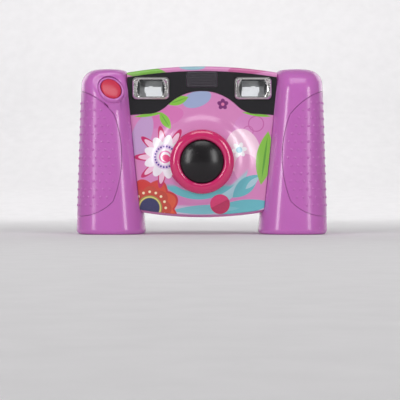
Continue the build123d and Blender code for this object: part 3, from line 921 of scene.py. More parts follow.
def smoothed(piece: bpy.types.Object, degrees: float = 32.0) -> bpy.types.Object:
    """Shades a piece smooth except over sharper edges.

    Args:
        piece: the piece.
        degrees: angle above which an edge stays sharp.

    Returns:
        The piece.
    """
    piece.data.shade_smooth()
    piece.data.set_sharp_from_angle(angle=math.radians(degrees))
    return piece


def lattice(name: str, rows: Sequence[Sequence[Sequence[float]]], ring: bool = True) -> bpy.types.Object:
    """A skin through rows of points.

    Args:
        name: object name.
        rows: rows of points in millimetres, equally long.
        ring: closes each row on itself.

    Returns:
        The piece.
    """
    count = len(rows[0])
    points = [point for row in rows for point in row]
    faces = []
    for row in range(len(rows) - 1):
        for column in range(count if ring else count - 1):
            after = (column + 1) % count
            low, high = row * count, (row + 1) * count
            faces.append((low + column, low + after, high + after, high + column))
    return mesh_object(name, points, faces)


def lathe(name: str, profile: Sequence[Flat], centre: Flat, sides: int = 72) -> bpy.types.Object:
    """A turned piece about an axis along Y.

    Args:
        name: object name.
        profile: (radius, depth) points; a closed loop or one that starts and ends on the axis.
        centre: x and z of the axis.
        sides: steps round.

    Returns:
        The closed piece.
    """
    rows = []
    for radius, depth in profile:
        turns = (math.tau * step / sides for step in range(sides))
        rows.append([
            (centre[0] + radius * math.cos(a), depth, centre[1] + radius * math.sin(a)) for a in turns
        ])
    return lattice(name, rows)


def prism(name: str, outline: Sequence[Flat], front: float, back: float) -> bpy.types.Object:
    """A front-view outline given depth.

    Args:
        name: object name.
        outline: its corners, in order.
        front: depth of the front face.
        back: depth of the back face.

    Returns:
        The closed piece.
    """
    count = len(outline)
    points = [(x, depth, z) for depth in (front, back) for x, z in outline]
    faces = [tuple(range(count)), tuple(range(2 * count - 1, count - 1, -1))]
    faces += [(k, (k + 1) % count, count + (k + 1) % count, count + k) for k in range(count)]
    return mesh_object(name, points, faces)


def block(name: str, low: Point, high: Point) -> bpy.types.Object:
    """A plain cutting block between two corners."""
    corners = [(low[0], low[2]), (high[0], low[2]), (high[0], high[2]), (low[0], high[2])]
    return prism(name, corners, low[1], high[1])


def bar(
    name: str, radius: float, low: float, high: float, depth: float, level: float, taper: float = 0.0
) -> bpy.types.Object:
    """A round bar along X, with ends that round off over the taper.

    Args:
        name: object name.
        radius: its radius.
        low: x of one end.
        high: x of the other end.
        depth: y of the axis.
        level: z of the axis.
        taper: length of each rounded end; nought leaves the ends flat.

    Returns:
        The closed bar.
    """
    sides = 40
    ends = [(0.0, 0.0), (0.0, 1.0)]
    if taper:
        ends = [(taper * (1 - math.cos(a)), math.sin(a)) for a in (math.pi * k / 10 for k in range(6))]
    stations = [(low + x, scale) for x, scale in ends]
    stations += [(high - x, scale) for x, scale in reversed(ends)]
    rows = []
    for x, scale in stations:
        turns = (math.tau * step / sides for step in range(sides))
        rows.append([
            (x, depth + radius * scale * math.cos(a), level + radius * scale * math.sin(a)) for a in turns
        ])
    return lattice(name, rows)


def rod(
    name: str, radius: float, front: float, back: float, centre: Flat, sides: int = 48
) -> bpy.types.Object:
    """A round rod along Y."""
    return lathe(name, ((0, front), (radius, front), (radius, back), (0, back)), centre, sides)


def arc(start: Flat, middle: Flat, end: Flat, steps: int) -> list[Flat]:
    """Points on the circle through three points.

    Args:
        start: first point.
        middle: a point between.
        end: last point.
        steps: number of spans.

    Returns:
        The points, both ends included.
    """
    (ax, ay), (bx, by), (cx, cy) = start, middle, end
    across = 2 * (ax * (by - cy) + bx * (cy - ay) + cx * (ay - by))
    a2, b2, c2 = ax * ax + ay * ay, bx * bx + by * by, cx * cx + cy * cy
    ux = (a2 * (by - cy) + b2 * (cy - ay) + c2 * (ay - by)) / across
    uy = (a2 * (cx - bx) + b2 * (ax - cx) + c2 * (bx - ax)) / across
    radius = math.hypot(ax - ux, ay - uy)
    first, last = math.atan2(ay - uy, ax - ux), math.atan2(cy - uy, cx - ux)
    via = math.atan2(by - uy, bx - ux)
    sweep = (last - first) % math.tau
    if (via - first) % math.tau > sweep:
        sweep -= math.tau
    angles = (first + sweep * k / steps for k in range(steps + 1))
    return [(ux + radius * math.cos(a), uy + radius * math.sin(a)) for a in angles]


def rounded_box(width: float, height: float, radius: float, centre: Flat, steps: int = 6) -> list[Flat]:
    """Outline of a rounded rectangle in front view.

    Args:
        width: full width.
        height: full height.
        radius: corner radius.
        centre: its middle.
        steps: spans in each corner.

    Returns:
        The outline.
    """
    outline = []
    for quarter, (sx, sz) in enumerate(((1, 1), (-1, 1), (-1, -1), (1, -1))):
        x = centre[0] + sx * (width / 2 - radius)
        z = centre[1] + sz * (height / 2 - radius)
        for k in range(steps + 1):
            angle = math.pi / 2 * (quarter + k / steps)
            outline.append((x + radius * math.cos(angle), z + radius * math.sin(angle)))
    return outline


def reach(inside: Inside, centre: Flat, angle: float, limit: float) -> float:
    """How far a ray from a centre stays inside a region.

    Args:
        inside: test of a place.
        centre: start of the ray.
        angle: its direction.
        limit: longest distance to try.

    Returns:
        The distance.
    """
    low, high = 0.0, limit
    for _ in range(26):
        middle = (low + high) / 2
        if inside(centre[0] + middle * math.cos(angle), centre[1] + middle * math.sin(angle)):
            low = middle
        else:
            high = middle
    return low


class Recipe(Graph):
    """A Geometry Nodes tree with named inputs, ending in plain dressed geometry."""

    def __init__(self, name: str) -> None:
        """Starts the tree.

        Args:
            name: name of the tree.
        """
        super().__init__(bpy.data.node_groups.new(name, "GeometryNodeTree"))
        self.tree.interface.new_socket("Geometry", in_out="INPUT", socket_type="NodeSocketGeometry")
        self.tree.interface.new_socket("Geometry", in_out="OUTPUT", socket_type="NodeSocketGeometry")
        self.entry = self.tree.nodes.new("NodeGroupInput")
        self.exit = self.tree.nodes.new("NodeGroupOutput")
        self.values: dict[str, float] = {}

    def size(self, name: str, value: float) -> bpy.types.NodeSocket:
        """Adds a named length or number and returns its output.

        Args:
            name: name of the input.
            value: its value.

        Returns:
            The input as an output of the entry node.
        """
        made = self.tree.interface.new_socket(name, in_out="INPUT", socket_type="NodeSocketFloat")
        made.default_value = value
        self.values[made.identifier] = value
        return self.entry.outputs[name]

    def close(self, geometry: bpy.types.NodeSocket, look: Look) -> None:
        """Ends the tree in realised, dressed geometry.

        Args:
            geometry: output that carries the geometry.
            look: its finish.
        """
        real = self.node("GeometryNodeRealizeInstances", Geometry=geometry)
        dressed = self.node("GeometryNodeSetMaterial", Geometry=real.outputs[0])
        dressed.inputs["Material"].default_value = look.material()
        self.tree.links.new(dressed.outputs[0], self.exit.inputs[0])

    def run(self, piece: bpy.types.Object) -> bpy.types.Object:
        """Runs the tree on a piece, with its inputs set by identifier, and keeps the plain result.

        Args:
            piece: object that the tree runs on.

        Returns:
            The piece as a plain mesh.
        """
        step = piece.modifiers.new("recipe", "NODES")
        step.node_group = self.tree
        for identifier, value in self.values.items():
            step[identifier] = value
        return settle(piece)


def scatter_recipe(name: str, look: Look, radius: float, height: float) -> Recipe:
    """A recipe that stands a small flat-footed dome on every vertex, along its normal.

    Args:
        name: name of the tree.
        look: finish of the domes.
        radius: foot radius in millimetres.
        height: height in millimetres.

    Returns:
        The recipe, with the inputs Radius and Height.
    """
    recipe = Recipe(name)
    wide, tall = recipe.size("Radius", radius * MM), recipe.size("Height", height * MM)
    ball = recipe.node("GeometryNodeMeshUVSphere", Segments=10, Rings=6, Radius=1.0)
    stretch = recipe.node("ShaderNodeCombineXYZ", X=wide, Y=wide, Z=tall)
    normal = recipe.node("GeometryNodeInputNamedAttribute", {"data_type": "FLOAT_VECTOR"}, Name="lean")
    turn = recipe.node("FunctionNodeAlignRotationToVector", {"axis": "Z"}, Vector=normal.outputs[0])
    stood = recipe.node(
        "GeometryNodeInstanceOnPoints", Points=recipe.entry.outputs[0], Instance=ball.outputs[0],
        Rotation=turn.outputs[0], Scale=stretch.outputs[0],
    )
    shaded = recipe.node("GeometryNodeSetShadeSmooth", Geometry=stood.outputs[0])
    recipe.close(shaded.outputs[0], look)
    return recipe


def seeds(name: str, points: Sequence[Point], leans: Sequence[Point]) -> bpy.types.Object:
    """Loose vertices that carry the direction each copy leans in.

    Args:
        name: object name.
        points: places in millimetres.
        leans: direction at each place.

    Returns:
        The piece.
    """
    mesh = bpy.data.meshes.new(name)
    mesh.from_pydata([tuple(part * MM for part in point) for point in points], [], [])
    lean = mesh.attributes.new("lean", "FLOAT_VECTOR", "POINT")
    lean.data.foreach_set("vector", [part for one in leans for part in one])
    return linked(name, mesh)


class Workshop:
    """Hands finished pieces to the frame and dresses the CAD nodes that stay."""

    def __init__(self, frame: dict) -> None:
        """Keeps the loaded frame."""
        self.nodes = frame["nodes"]

    def hand_over(self, piece: bpy.types.Object, node: str, slot: str) -> bpy.types.Object:
        """Puts a finished piece in place of its CAD node.

        Args:
            piece: finished mesh.
            node: CAD node that it stands for.
            slot: material slot of the record; not used.

        Returns:
            The piece.
        """
        piece.name = f"finished_{node}"
        piece.data.name = piece.name
        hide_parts(node)
        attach(piece, self.nodes[node]["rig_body"])
        return piece

    def refined(self, node: str, degrees: float = 30.0) -> bpy.types.Object:
        """A merged, smoothly shaded copy of a CAD node.

        Args:
            node: the CAD node.
            degrees: angle above which an edge stays sharp.

        Returns:
            The copy.
        """
        source = self.nodes[node].data
        points = [vertex.co / MM for vertex in source.vertices]
        piece = mesh_object(f"work_{node}", points, [face.vertices for face in source.polygons])
        return smoothed(piece, degrees)

    def finish_copy(self, node: str, look: Look, slot: str) -> bpy.types.Object:
        """A refined copy with a finish, handed over."""
        return self.hand_over(painted(self.refined(node), look), node, slot)

    def dress(self, node: str, look: Look) -> None:
        """Gives a CAD node that stays its finish.

        Args:
            node: the CAD node.
            look: its finish.
        """
        data = self.nodes[node].data
        if not data.materials:
            data.materials.append(None)
        for index in range(len(data.materials)):
            data.materials[index] = look.material()


# ------------------------------------------------------------------ grips


@dataclass
class Grips:
    """Two upright hand grips with soft pads, battery doors and the shutter button."""

    shop: Workshop
    top: float = 101.2
    inner: Flat = (34.5, 44.7)
    outer: Flat = (77.5, 74.2)
    front: Flat = (-30.0, -27.0)
    rear: Flat = (21.0, 18.5)
    rounds: tuple[float, float, float, float] = (5.0, 9.0, 16.0, 9.0)
    front_power: float = 2.6
    rear_power: float = 3.4
    crown: float = 1.1
    wall: float = 2.0
    pad_depth: float = 1.2
    groove: float = 0.26
    sides: int = 112
    door_half: float = 13.8
    door_low: float = 4.6
    hinge_level: float = 70.5
    screw_level: float = 8.4
    case_screw_level: float = 86.0
    split: float = 0.04
    foot_round: float = 3.0
    skin_tolerance: float = 0.006
    skin_facing: float = 0.965

    def drawn_in(self, level: float, crown_round: float) -> float:
        """How far the foot and crown rounds pull a side in at a level.

        Args:
            level: height in millimetres.
            crown_round: radius of the upper edge on that side.

        Returns:
            The distance in millimetres.
        """
        foot = self.foot_round
        if level < foot:
            return foot - math.sqrt(foot**2 - (foot - level) ** 2) * 0.9 - 0.1 * foot
        rise = level - (self.top + 0.35 - crown_round)
        return 0.0 if rise <= 0 else crown_round - math.sqrt(crown_round**2 - rise**2)

    def limits(self, level: float) -> tuple[float, float, float, float]:
        """Inner and outer x, front and rear y at a level.

        Args:
            level: height in millimetres.

        Returns:
            The four places in millimetres.
        """
        share = level / self.top
        pulls = [self.drawn_in(level, radius) for radius in self.rounds]
        sides = (self.inner, self.outer, self.front, self.rear)
        signs = (1, -1, 1, -1)
        return tuple(s[0] + (s[1] - s[0]) * share + k * p for s, k, p in zip(sides, signs, pulls))

    def section(self, level: float, inset: float) -> tuple[float, float, float, float]:
        """Centre and half sizes of the section at a level.

        Args:
            level: height in millimetres.
            inset: how far the skin is drawn in.

        Returns:
            Middle x, middle y, half width and half depth.
        """
        inner, outer, front, rear = self.limits(level)
        half_x, half_y = (outer - inner) / 2 - inset, (rear - front) / 2 - inset
        return (inner + outer) / 2, (front + rear) / 2, half_x, half_y

    def skin_point(self, angle: float, level: float, inset: float) -> Point:
        """Point of the skin in a direction from the section's centre.

        Args:
            angle: direction from the centre.
            level: height in millimetres.
            inset: how far the skin is drawn in.

        Returns:
            The point.
        """
        x, y, half_x, half_y = self.section(level, inset)
        power = self.front_power if math.sin(angle) < 0 else self.rear_power
        along = abs(math.cos(angle) / half_x) ** power + abs(math.sin(angle) / half_y) ** power
        radius = along ** (-1 / power)
        return x + radius * math.cos(angle), y + radius * math.sin(angle), level

    def lean(self, point: Sequence[float]) -> Vector:
        """Outward direction of the right grip's skin at a point in millimetres.

        Args:
            point: a place on the skin.

        Returns:
            The unit direction.
        """
        x, y, z = point
        z = min(max(z, 0.02), self.top - 0.02)
        step = 0.01
        slope = Vector((
            self.share_out((x + step, y, z)) - self.share_out((x - step, y, z)),
            self.share_out((x, y + step, z)) - self.share_out((x, y - step, z)),
            self.share_out((x, y, z + step)) - self.share_out((x, y, z - step)),
        ))
        return slope.normalized()

    def share_out(self, place: Sequence[float]) -> float:
        """How far out a place lies in the right grip: nought on its middle line, one on its skin.

        Args:
            place: x, y and z in millimetres.

        Returns:
            The share.
        """
        middle_x, middle_y, half_x, half_y = self.section(place[2], 0.0)
        power = self.front_power if place[1] < middle_y else self.rear_power
        across, depth = abs(place[0] - middle_x) / half_x, abs(place[1] - middle_y) / half_y
        return (across**power + depth**power) ** (1 / power)

    def solid(self, inset: float, name: str) -> bpy.types.Object:
        """The right grip's form as a closed skin, drawn in by inset.

        Args:
            inset: how far the skin is drawn in.
            name: object name.

        Returns:
            The closed solid.
        """
        levels = [inset + k for k in (0, 0.25, 0.6, 1.1, 1.7, 2.4, 3.2)]
        levels += [3.2 + inset + (78 - inset) * k / 26 for k in range(1, 27)]
        start = levels[-1]
        end = self.top - inset
        levels += [end - (end - start) * (1 - k / 24) ** 1.7 for k in range(1, 25)]
        angles = [math.tau * k / self.sides for k in range(self.sides)]
        foot = [self.skin_point(a, levels[0], inset) for a in angles]
        head = [self.skin_point(a, levels[-1], inset) for a in angles]
        rows = [self.toward_centre(foot, share, levels[0], 0.0) for share in (0.0, 0.4, 0.7, 0.9)]
        rows += [[self.skin_point(a, level, inset) for a in angles] for level in levels]
        shares = (0.95, 0.85, 0.7, 0.5, 0.25, 0.0)
        rows += [self.toward_centre(head, share, levels[-1], self.crown) for share in shares]
        return lattice(name, rows)

    def toward_centre(self, ring: Sequence[Point], share: float, level: float, bulge: float) -> list[Point]:
        """A ring shrunk toward its middle and lifted into a shallow crown.

        Args:
            ring: the points.
            share: one keeps the ring, nought draws it to a point.
            level: height of the ring.
            bulge: height of the crown above it.

        Returns:
            The new ring.
        """
        x, y, _, _ = self.section(min(level, self.top), 0.0)
        lift = bulge * (1 - share * share)
        return [(x + (p[0] - x) * share, y + (p[1] - y) * share, level + lift) for p in ring]

    def hollow(self) -> bpy.types.Object:
        """The right grip as a shell with its wall."""
        skin = self.solid(0.0, "grip_skin")
        return combine(skin, self.solid(self.wall, "grip_room"), "DIFFERENCE")

    def pad_outline(self, shrink: float) -> list[Flat]:
        """Front-view outline of the soft pad, drawn in by shrink.

        Args:
            shrink: how far it is drawn in.

        Returns:
            The outline.
        """
        upper = (53.2 + shrink, 73.0 - shrink * 0.6)
        lower = (53.6 + shrink, 20.0 + shrink * 0.6)
        top = arc((90.0, 90.0 - shrink), (65.0 + shrink, 83.6 - shrink), upper, 26)
        side = arc(upper, (48.4 + shrink, 48.0), lower, 40)
        low = arc(lower, (64.0, 13.0 + shrink), (90.0, 15.6 + shrink), 26)
        return top[:-1] + side[:-1] + low

    def door_outline(self, grow: float) -> list[Flat]:
        """Front-view outline of the battery door.

        Args:
            grow: how far it is let out.

        Returns:
            The outline.
        """
        low, high = self.door_low - grow, self.hinge_level + grow
        centre = (self.door_x(), (low + high) / 2)
        return rounded_box(2 * (self.door_half + grow), high - low, 3.0, centre)

    def door_x(self) -> float:
        """Middle of the battery door."""
        inner, outer, _, _ = self.limits(45.0)
        return (inner + outer) / 2 + 1.0

    def hinge_y(self) -> float:
        """Depth of the hinge axis."""
        return self.limits(self.hinge_level)[3] - 2.4

    def case_screw(self) -> Flat:
        """Place of the case screw behind the grip's upper part."""
        return self.limits(self.case_screw_level)[1] - 4.6, self.case_screw_level

    def shaded(self, piece: bpy.types.Object, side: int) -> bpy.types.Object:
        """Gives the outer skin the exact direction of the form, so that it reflects cleanly.

        Args:
            piece: the piece.
            side: one for the right grip, minus one for the left.

        Returns:
            The piece.
        """
        smoothed(piece, 24.0)
        mesh = piece.data
        normals = [Vector(corner.vector) for corner in mesh.corner_normals]
        leans: dict[int, Vector] = {}
        edge = 0.3
        for face in mesh.polygons:
            if face.center.z / MM > self.top - edge or face.center.z / MM < edge:
                continue
            for loop in face.loop_indices:
                corner = mesh.loops[loop].vertex_index
                level = mesh.vertices[corner].co.z / MM
                if corner not in leans:
                    leans[corner] = self.skin_lean(mesh.vertices[corner].co / MM, side)
                if face.normal.dot(leans[corner]) > self.skin_facing and level < self.top - 0.01:
                    normals[loop] = leans[corner]
        mesh.normals_split_custom_set([tuple(normal) for normal in normals])
        return piece

    def skin_lean(self, place: Vector, side: int) -> Vector:
        """Outward direction at a place on either grip, or nought where it isn't on the skin.

        Args:
            place: the place in millimetres, which is changed.
            side: one for the right grip, minus one for the left.

        Returns:
            The unit direction or nought.
        """
        place.x *= side
        share = self.share_out((place.x, place.y, min(place.z, self.top - 0.02)))
        if abs(share - 1) >= self.skin_tolerance:
            return Vector()
        lean = self.lean(place)
        return Vector((lean.x * side, lean.y, lean.z))

    def front_half(self, hollow: bpy.types.Object, recess: bpy.types.Object) -> bpy.types.Object:
        """Front moulding of the right grip.

        Args:
            hollow: the grip's shell.
            recess: room of the pad.

        Returns:
            The moulding.
        """
        room = block("front_room", (20, -60, -9), (95, -self.split, 120))
        half = combine(copied(hollow, "grip_front_work"), room, "INTERSECT")
        return combine(half, recess, "DIFFERENCE", keep=True)

    def rear_half(self, hollow: bpy.types.Object, recess: bpy.types.Object) -> bpy.types.Object:
        """Rear moulding of the right grip with its door opening, hinge lugs and screw hole.

        Args:
            hollow: the grip's shell.
            recess: room of the pad.

        Returns:
            The moulding.
        """
        room = block("rear_room", (20, self.split, -9), (95, 60, 120))
        half = combine(copied(hollow, "grip_rear_work"), room, "INTERSECT")
        half = combine(half, recess, "DIFFERENCE", keep=True)
        half = combine(half, prism("door_room", self.door_outline(0.3), 11.0, 40.0), "DIFFERENCE")
        x, y, z = self.door_x(), self.hinge_y(), self.hinge_level
        notch = block("knuckle_room", (x - 7.4, 10.0, z - 1.0), (x + 7.4, 40.0, z + 2.7))
        half = combine(half, notch, "DIFFERENCE")
        for low, high in ((x - 12.0, x - 7.4), (x + 7.4, x + 12.0)):
            half = combine(half, bar("lug", 2.3, low, high, y, z), "UNION")
        screw = self.case_screw()
        half = combine(half, rod("screw_boss", 3.2, 0.1, 14.0, screw), "UNION")
        half = combine(half, rod("screw_bore", 3.0, 9.0, 40.0, screw), "DIFFERENCE")
        return combine(half, bar("pin_bore", 0.82, x - 12.2, x + 12.2, y, z), "DIFFERENCE")

    def door(self, hollow: bpy.types.Object) -> bpy.types.Object:
        """Battery door of the right grip with its knuckle, web and screw seat.

        Args:
            hollow: the grip's shell.

        Returns:
            The door.
        """
        edge = prism("door_edge", self.door_outline(0.0), 11.0, 40.0)
        door = combine(copied(hollow, "door_work"), edge, "INTERSECT")
        x, y, z = self.door_x(), self.hinge_y(), self.hinge_level
        door = combine(door, block("door_top", (20, 5, z - 2.8), (95, 60, 95)), "DIFFERENCE")
        door = combine(door, block("web", (x - 6.9, y, z - 4.0), (x + 6.9, y + 2.1, z)), "UNION")
        door = combine(door, bar("knuckle", 2.3, x - 7.0, x + 7.0, y, z), "UNION")
        surface = self.limits(self.screw_level)[3]
        seat = (x, self.screw_level)
        door = combine(door, rod("boss", 4.0, surface - 5.0, surface - 1.6, seat), "UNION")
        door = combine(door, rod("seat", 3.0, surface - 1.4, 60.0, seat), "DIFFERENCE")
        door = combine(door, rod("bore", 1.5, 0.0, 60.0, seat), "DIFFERENCE")
        for k in range(5):
            level = 56.0 - k * 2.4
            depth = self.limits(level)[3]
            door = combine(door, bar("finger_rib", 0.75, x - 6.5, x + 6.5, depth - 0.2, level, 1.6), "UNION")
        return combine(door, bar("pin_bore", 0.87, x - 20, x + 20, y, z), "DIFFERENCE")

    def pad(self) -> bpy.types.Object:
        """Soft pad let into the outer side of the right grip.

        Returns:
            The pad.
        """
        skin = combine(self.solid(0.0, "pad_skin"), self.solid(self.pad_depth, "pad_back"), "DIFFERENCE")
        edge = prism("pad_edge", self.pad_outline(self.groove), -60.0, 6.0 - self.groove)
        return combine(skin, edge, "INTERSECT")

    def pips(self) -> bpy.types.Object:
        """Staggered rows of small raised pips over the pad.

        Returns:
            All the pips as one piece.
        """
        outline = self.pad_outline(2.6)
        points, leans = [], []
        for row in range(15):
            level = 18.0 + row * 4.8
            for column in range(26):
                angle = math.radians(-150 + column * 9.4 + (4.7 if row % 2 else 0.0))
                x, y, z = self.skin_point(angle, level, 0.0)
                if y < 2.6 and self.within(outline, (x, z)):
                    points.append((x, y, z))
                    leans.append(tuple(self.lean((x, y, z))))
        return scatter_recipe("pip_rows", Look.PAD, 0.85, 0.32).run(seeds("pips", points, leans))

    def within(self, outline: Sequence[Flat], place: Flat) -> bool:
        """Tests whether a place lies inside an outline.

        Args:
            outline: its corners, in order.
            place: the place.

        Returns:
            True when it does.
        """
        odd = False
        for (ax, az), (bx, bz) in zip(outline, [*outline[1:], outline[0]]):
            spans = (az > place[1]) != (bz > place[1])
            if spans and place[0] < (bx - ax) * (place[1] - az) / (bz - az) + ax:
                odd = not odd
        return odd

    def recess(self) -> bpy.types.Object:
        """The room that the pad is let into."""
        room = prism("pad_recess", self.pad_outline(0.0), -60.0, 6.0)
        return combine(room, self.solid(self.pad_depth + 0.02, "recess_floor"), "DIFFERENCE")

    def build(self) -> None:
        """Builds the right grip, mirrors it for the left and adds the shutter button."""
        hollow, recess = self.hollow(), self.recess()
        parts = {
            "grip_front": (self.front_half(hollow, recess), Look.GRIP, "grip_plastic"),
            "grip_rear": (self.rear_half(hollow, recess), Look.GRIP, "grip_plastic"),
            "battery_door": (self.door(hollow), Look.GRIP, "grip_plastic"),
            "grip_pad": (self.pad(), Look.PAD, "grip_pad"),
        }
        pips = self.pips()
        drop(hollow)
        drop(recess)
        button = ShutterButton(self)
        for name, (right, look, slot) in parts.items():
            left = reflected(right, f"left_{name}_work")
            if name == "grip_front":
                button.scoop(left)
                left = combine(left, button.pocket(), "DIFFERENCE")
            for side, label, piece in ((1, "right", right), (-1, "left", left)):
                painted(piece, look)
                if name == "grip_pad":
                    domes = copied(pips, "pad_pips") if side > 0 else reflected(pips, "pad_pips")
                    piece = merged([piece, domes], f"{label}_pad_whole")
                self.shaded(piece, side)
                self.shop.hand_over(piece, f"{label}_{name}", slot)
                log.info("built %s", piece.name)
        drop(pips)
        button.build(self.shop)
        for label in ("left", "right"):
            self.inside(label)

    def inside(self, label: str) -> None:
        """Dresses the pieces of one battery bay.

        Args:
            label: left or right.
        """
        self.shop.finish_copy(f"{label}_hinge_pin", Look.STEEL, "steel")
        self.shop.finish_copy(f"{label}_door_screw", Look.STEEL, "steel")
        self.shop.finish_copy(f"{label}_batteries", Look.CELL, "cell_wrap")
        self.shop.finish_copy(f"{label}_battery_tray", Look.DARK, "dark_plastic")
        self.shop.dress(f"{label}_contacts", Look.NICKEL)


class ShutterButton:
    """Red oval button in a raised rim on the brow of the left grip."""

    def __init__(self, grips: Grips) -> None:
        """Sets up the tilted frame that the button moves in.

        Args:
            grips: the grips that it sits in.
        """
        self.grips = grips
        self.long, self.short = 7.6, 5.9
        self.normal = Vector((0.14, -0.80, 0.58)).normalized()
        upward = self.normal.cross(Vector((1, 0, 0))).normalized()
        self.along = (Matrix.Rotation(math.radians(24), 3, self.normal) @ upward).normalized()
        self.side = self.normal.cross(self.along).normalized()
        inner, outer, front, rear = grips.limits(88.4)
        share = abs(55.2 - (inner + outer) / 2) / ((outer - inner) / 2)
        power = grips.front_power
        depth = (front + rear) / 2 - (1 - share**power) ** (1 / power) * (rear - front) / 2
        self.origin = Vector((-55.2, depth + 2.2, 88.4))

    def place(self, angle: float, grow: float, height: float, share: float = 1.0) -> Point:
        """A point on a grown oval at a height above the frame.

        Args:
            angle: direction on the oval.
            grow: how much larger than the button.
            height: height above the frame.
            share: share of the way from the middle.

        Returns:
            The point.
        """
        u = (self.long + grow) * share * math.cos(angle)
        v = (self.short + grow) * share * math.sin(angle)
        return tuple(self.origin + self.along * u + self.side * v + self.normal * height)

    def turned(self, name: str, rings: Sequence[tuple[float, float, float]]) -> bpy.types.Object:
        """A closed oval piece from (growth, height, share) rings."""
        angles = [math.tau * k / 80 for k in range(80)]
        return lattice(name, [[self.place(a, *ring) for a in angles] for ring in rings])

    def scoop(self, piece: bpy.types.Object) -> None:
        """Presses a soft dish into the grip round the button.

        Args:
            piece: front moulding of the left grip.
        """
        rim, fade, strength = 2.0, 0.6, 0.6
        for vertex in piece.data.vertices:
            offset = vertex.co / MM - self.origin
            u, v, height = offset.dot(self.along), offset.dot(self.side), offset.dot(self.normal)
            reached = math.hypot(u / (self.long + rim), v / (self.short + rim))
            if height > -4.5 and reached < 1.0 + fade:
                share = 0.5 + 0.5 * math.cos(math.pi * max(reached - 1.0, 0.0) / fade)
                below_crown = min(max((self.grips.top - vertex.co.z / MM) / 5.0, 0.0), 1.0)
                vertex.co -= self.normal * ((height + 0.9) * strength * share * below_crown * MM)

    def pocket(self) -> bpy.types.Object:
        """The oval hole that the rim sits in."""
        rings = ((-6.6, 0.0), (-6.6, 1.0), (20.0, 1.0), (20.0, 0.0))
        return self.turned("pocket", [(2.05, height, share) for height, share in rings])

    def rim(self) -> bpy.types.Object:
        """Raised rim with its guide sleeve.

        Returns:
            The rim.
        """
        return self.turned("rim", (
            (0.3, -4.6, 1.0), (0.3, -0.2, 1.0), (0.38, 0.25, 1.0), (0.75, 0.5, 1.0), (1.3, 0.45, 1.0),
            (1.8, 0.0, 1.0), (2.0, -0.7, 1.0), (2.0, -6.5, 1.0), (0.0, -6.5, 0.72), (0.0, -9.0, 0.72),
            (0.0, -9.0, 0.44), (0.0, -4.6, 0.44), (0.3, -4.6, 1.0),
        ))

    def cap(self) -> bpy.types.Object:
        """Domed button with its stem.

        Returns:
            The button.
        """
        rings = [(1.35 - 0.75 * share**2.4, share) for share in (0.0, 0.2, 0.4, 0.6, 0.75, 0.86, 0.94)]
        rings += [(0.42, 0.985), (0.1, 1.0), (-2.6, 1.0), (-2.6, 0.41), (-8.6, 0.41), (-8.6, 0.0)]
        return self.turned("cap", [(0.0, height, share) for height, share in rings])

    def build(self, shop: Workshop) -> None:
        """Builds the rim and the button.

        Args:
            shop: where the pieces go.
        """
        shop.hand_over(painted(smoothed(self.rim(), 40.0), Look.GRIP), "shutter_bezel", "grip_plastic")
        shop.hand_over(painted(smoothed(self.cap(), 50.0), Look.RED), "shutter_button", "shutter_red")
        shop.dress("shutter_switch", Look.DARK)


# ------------------------------------------------------------------ body, face and lens


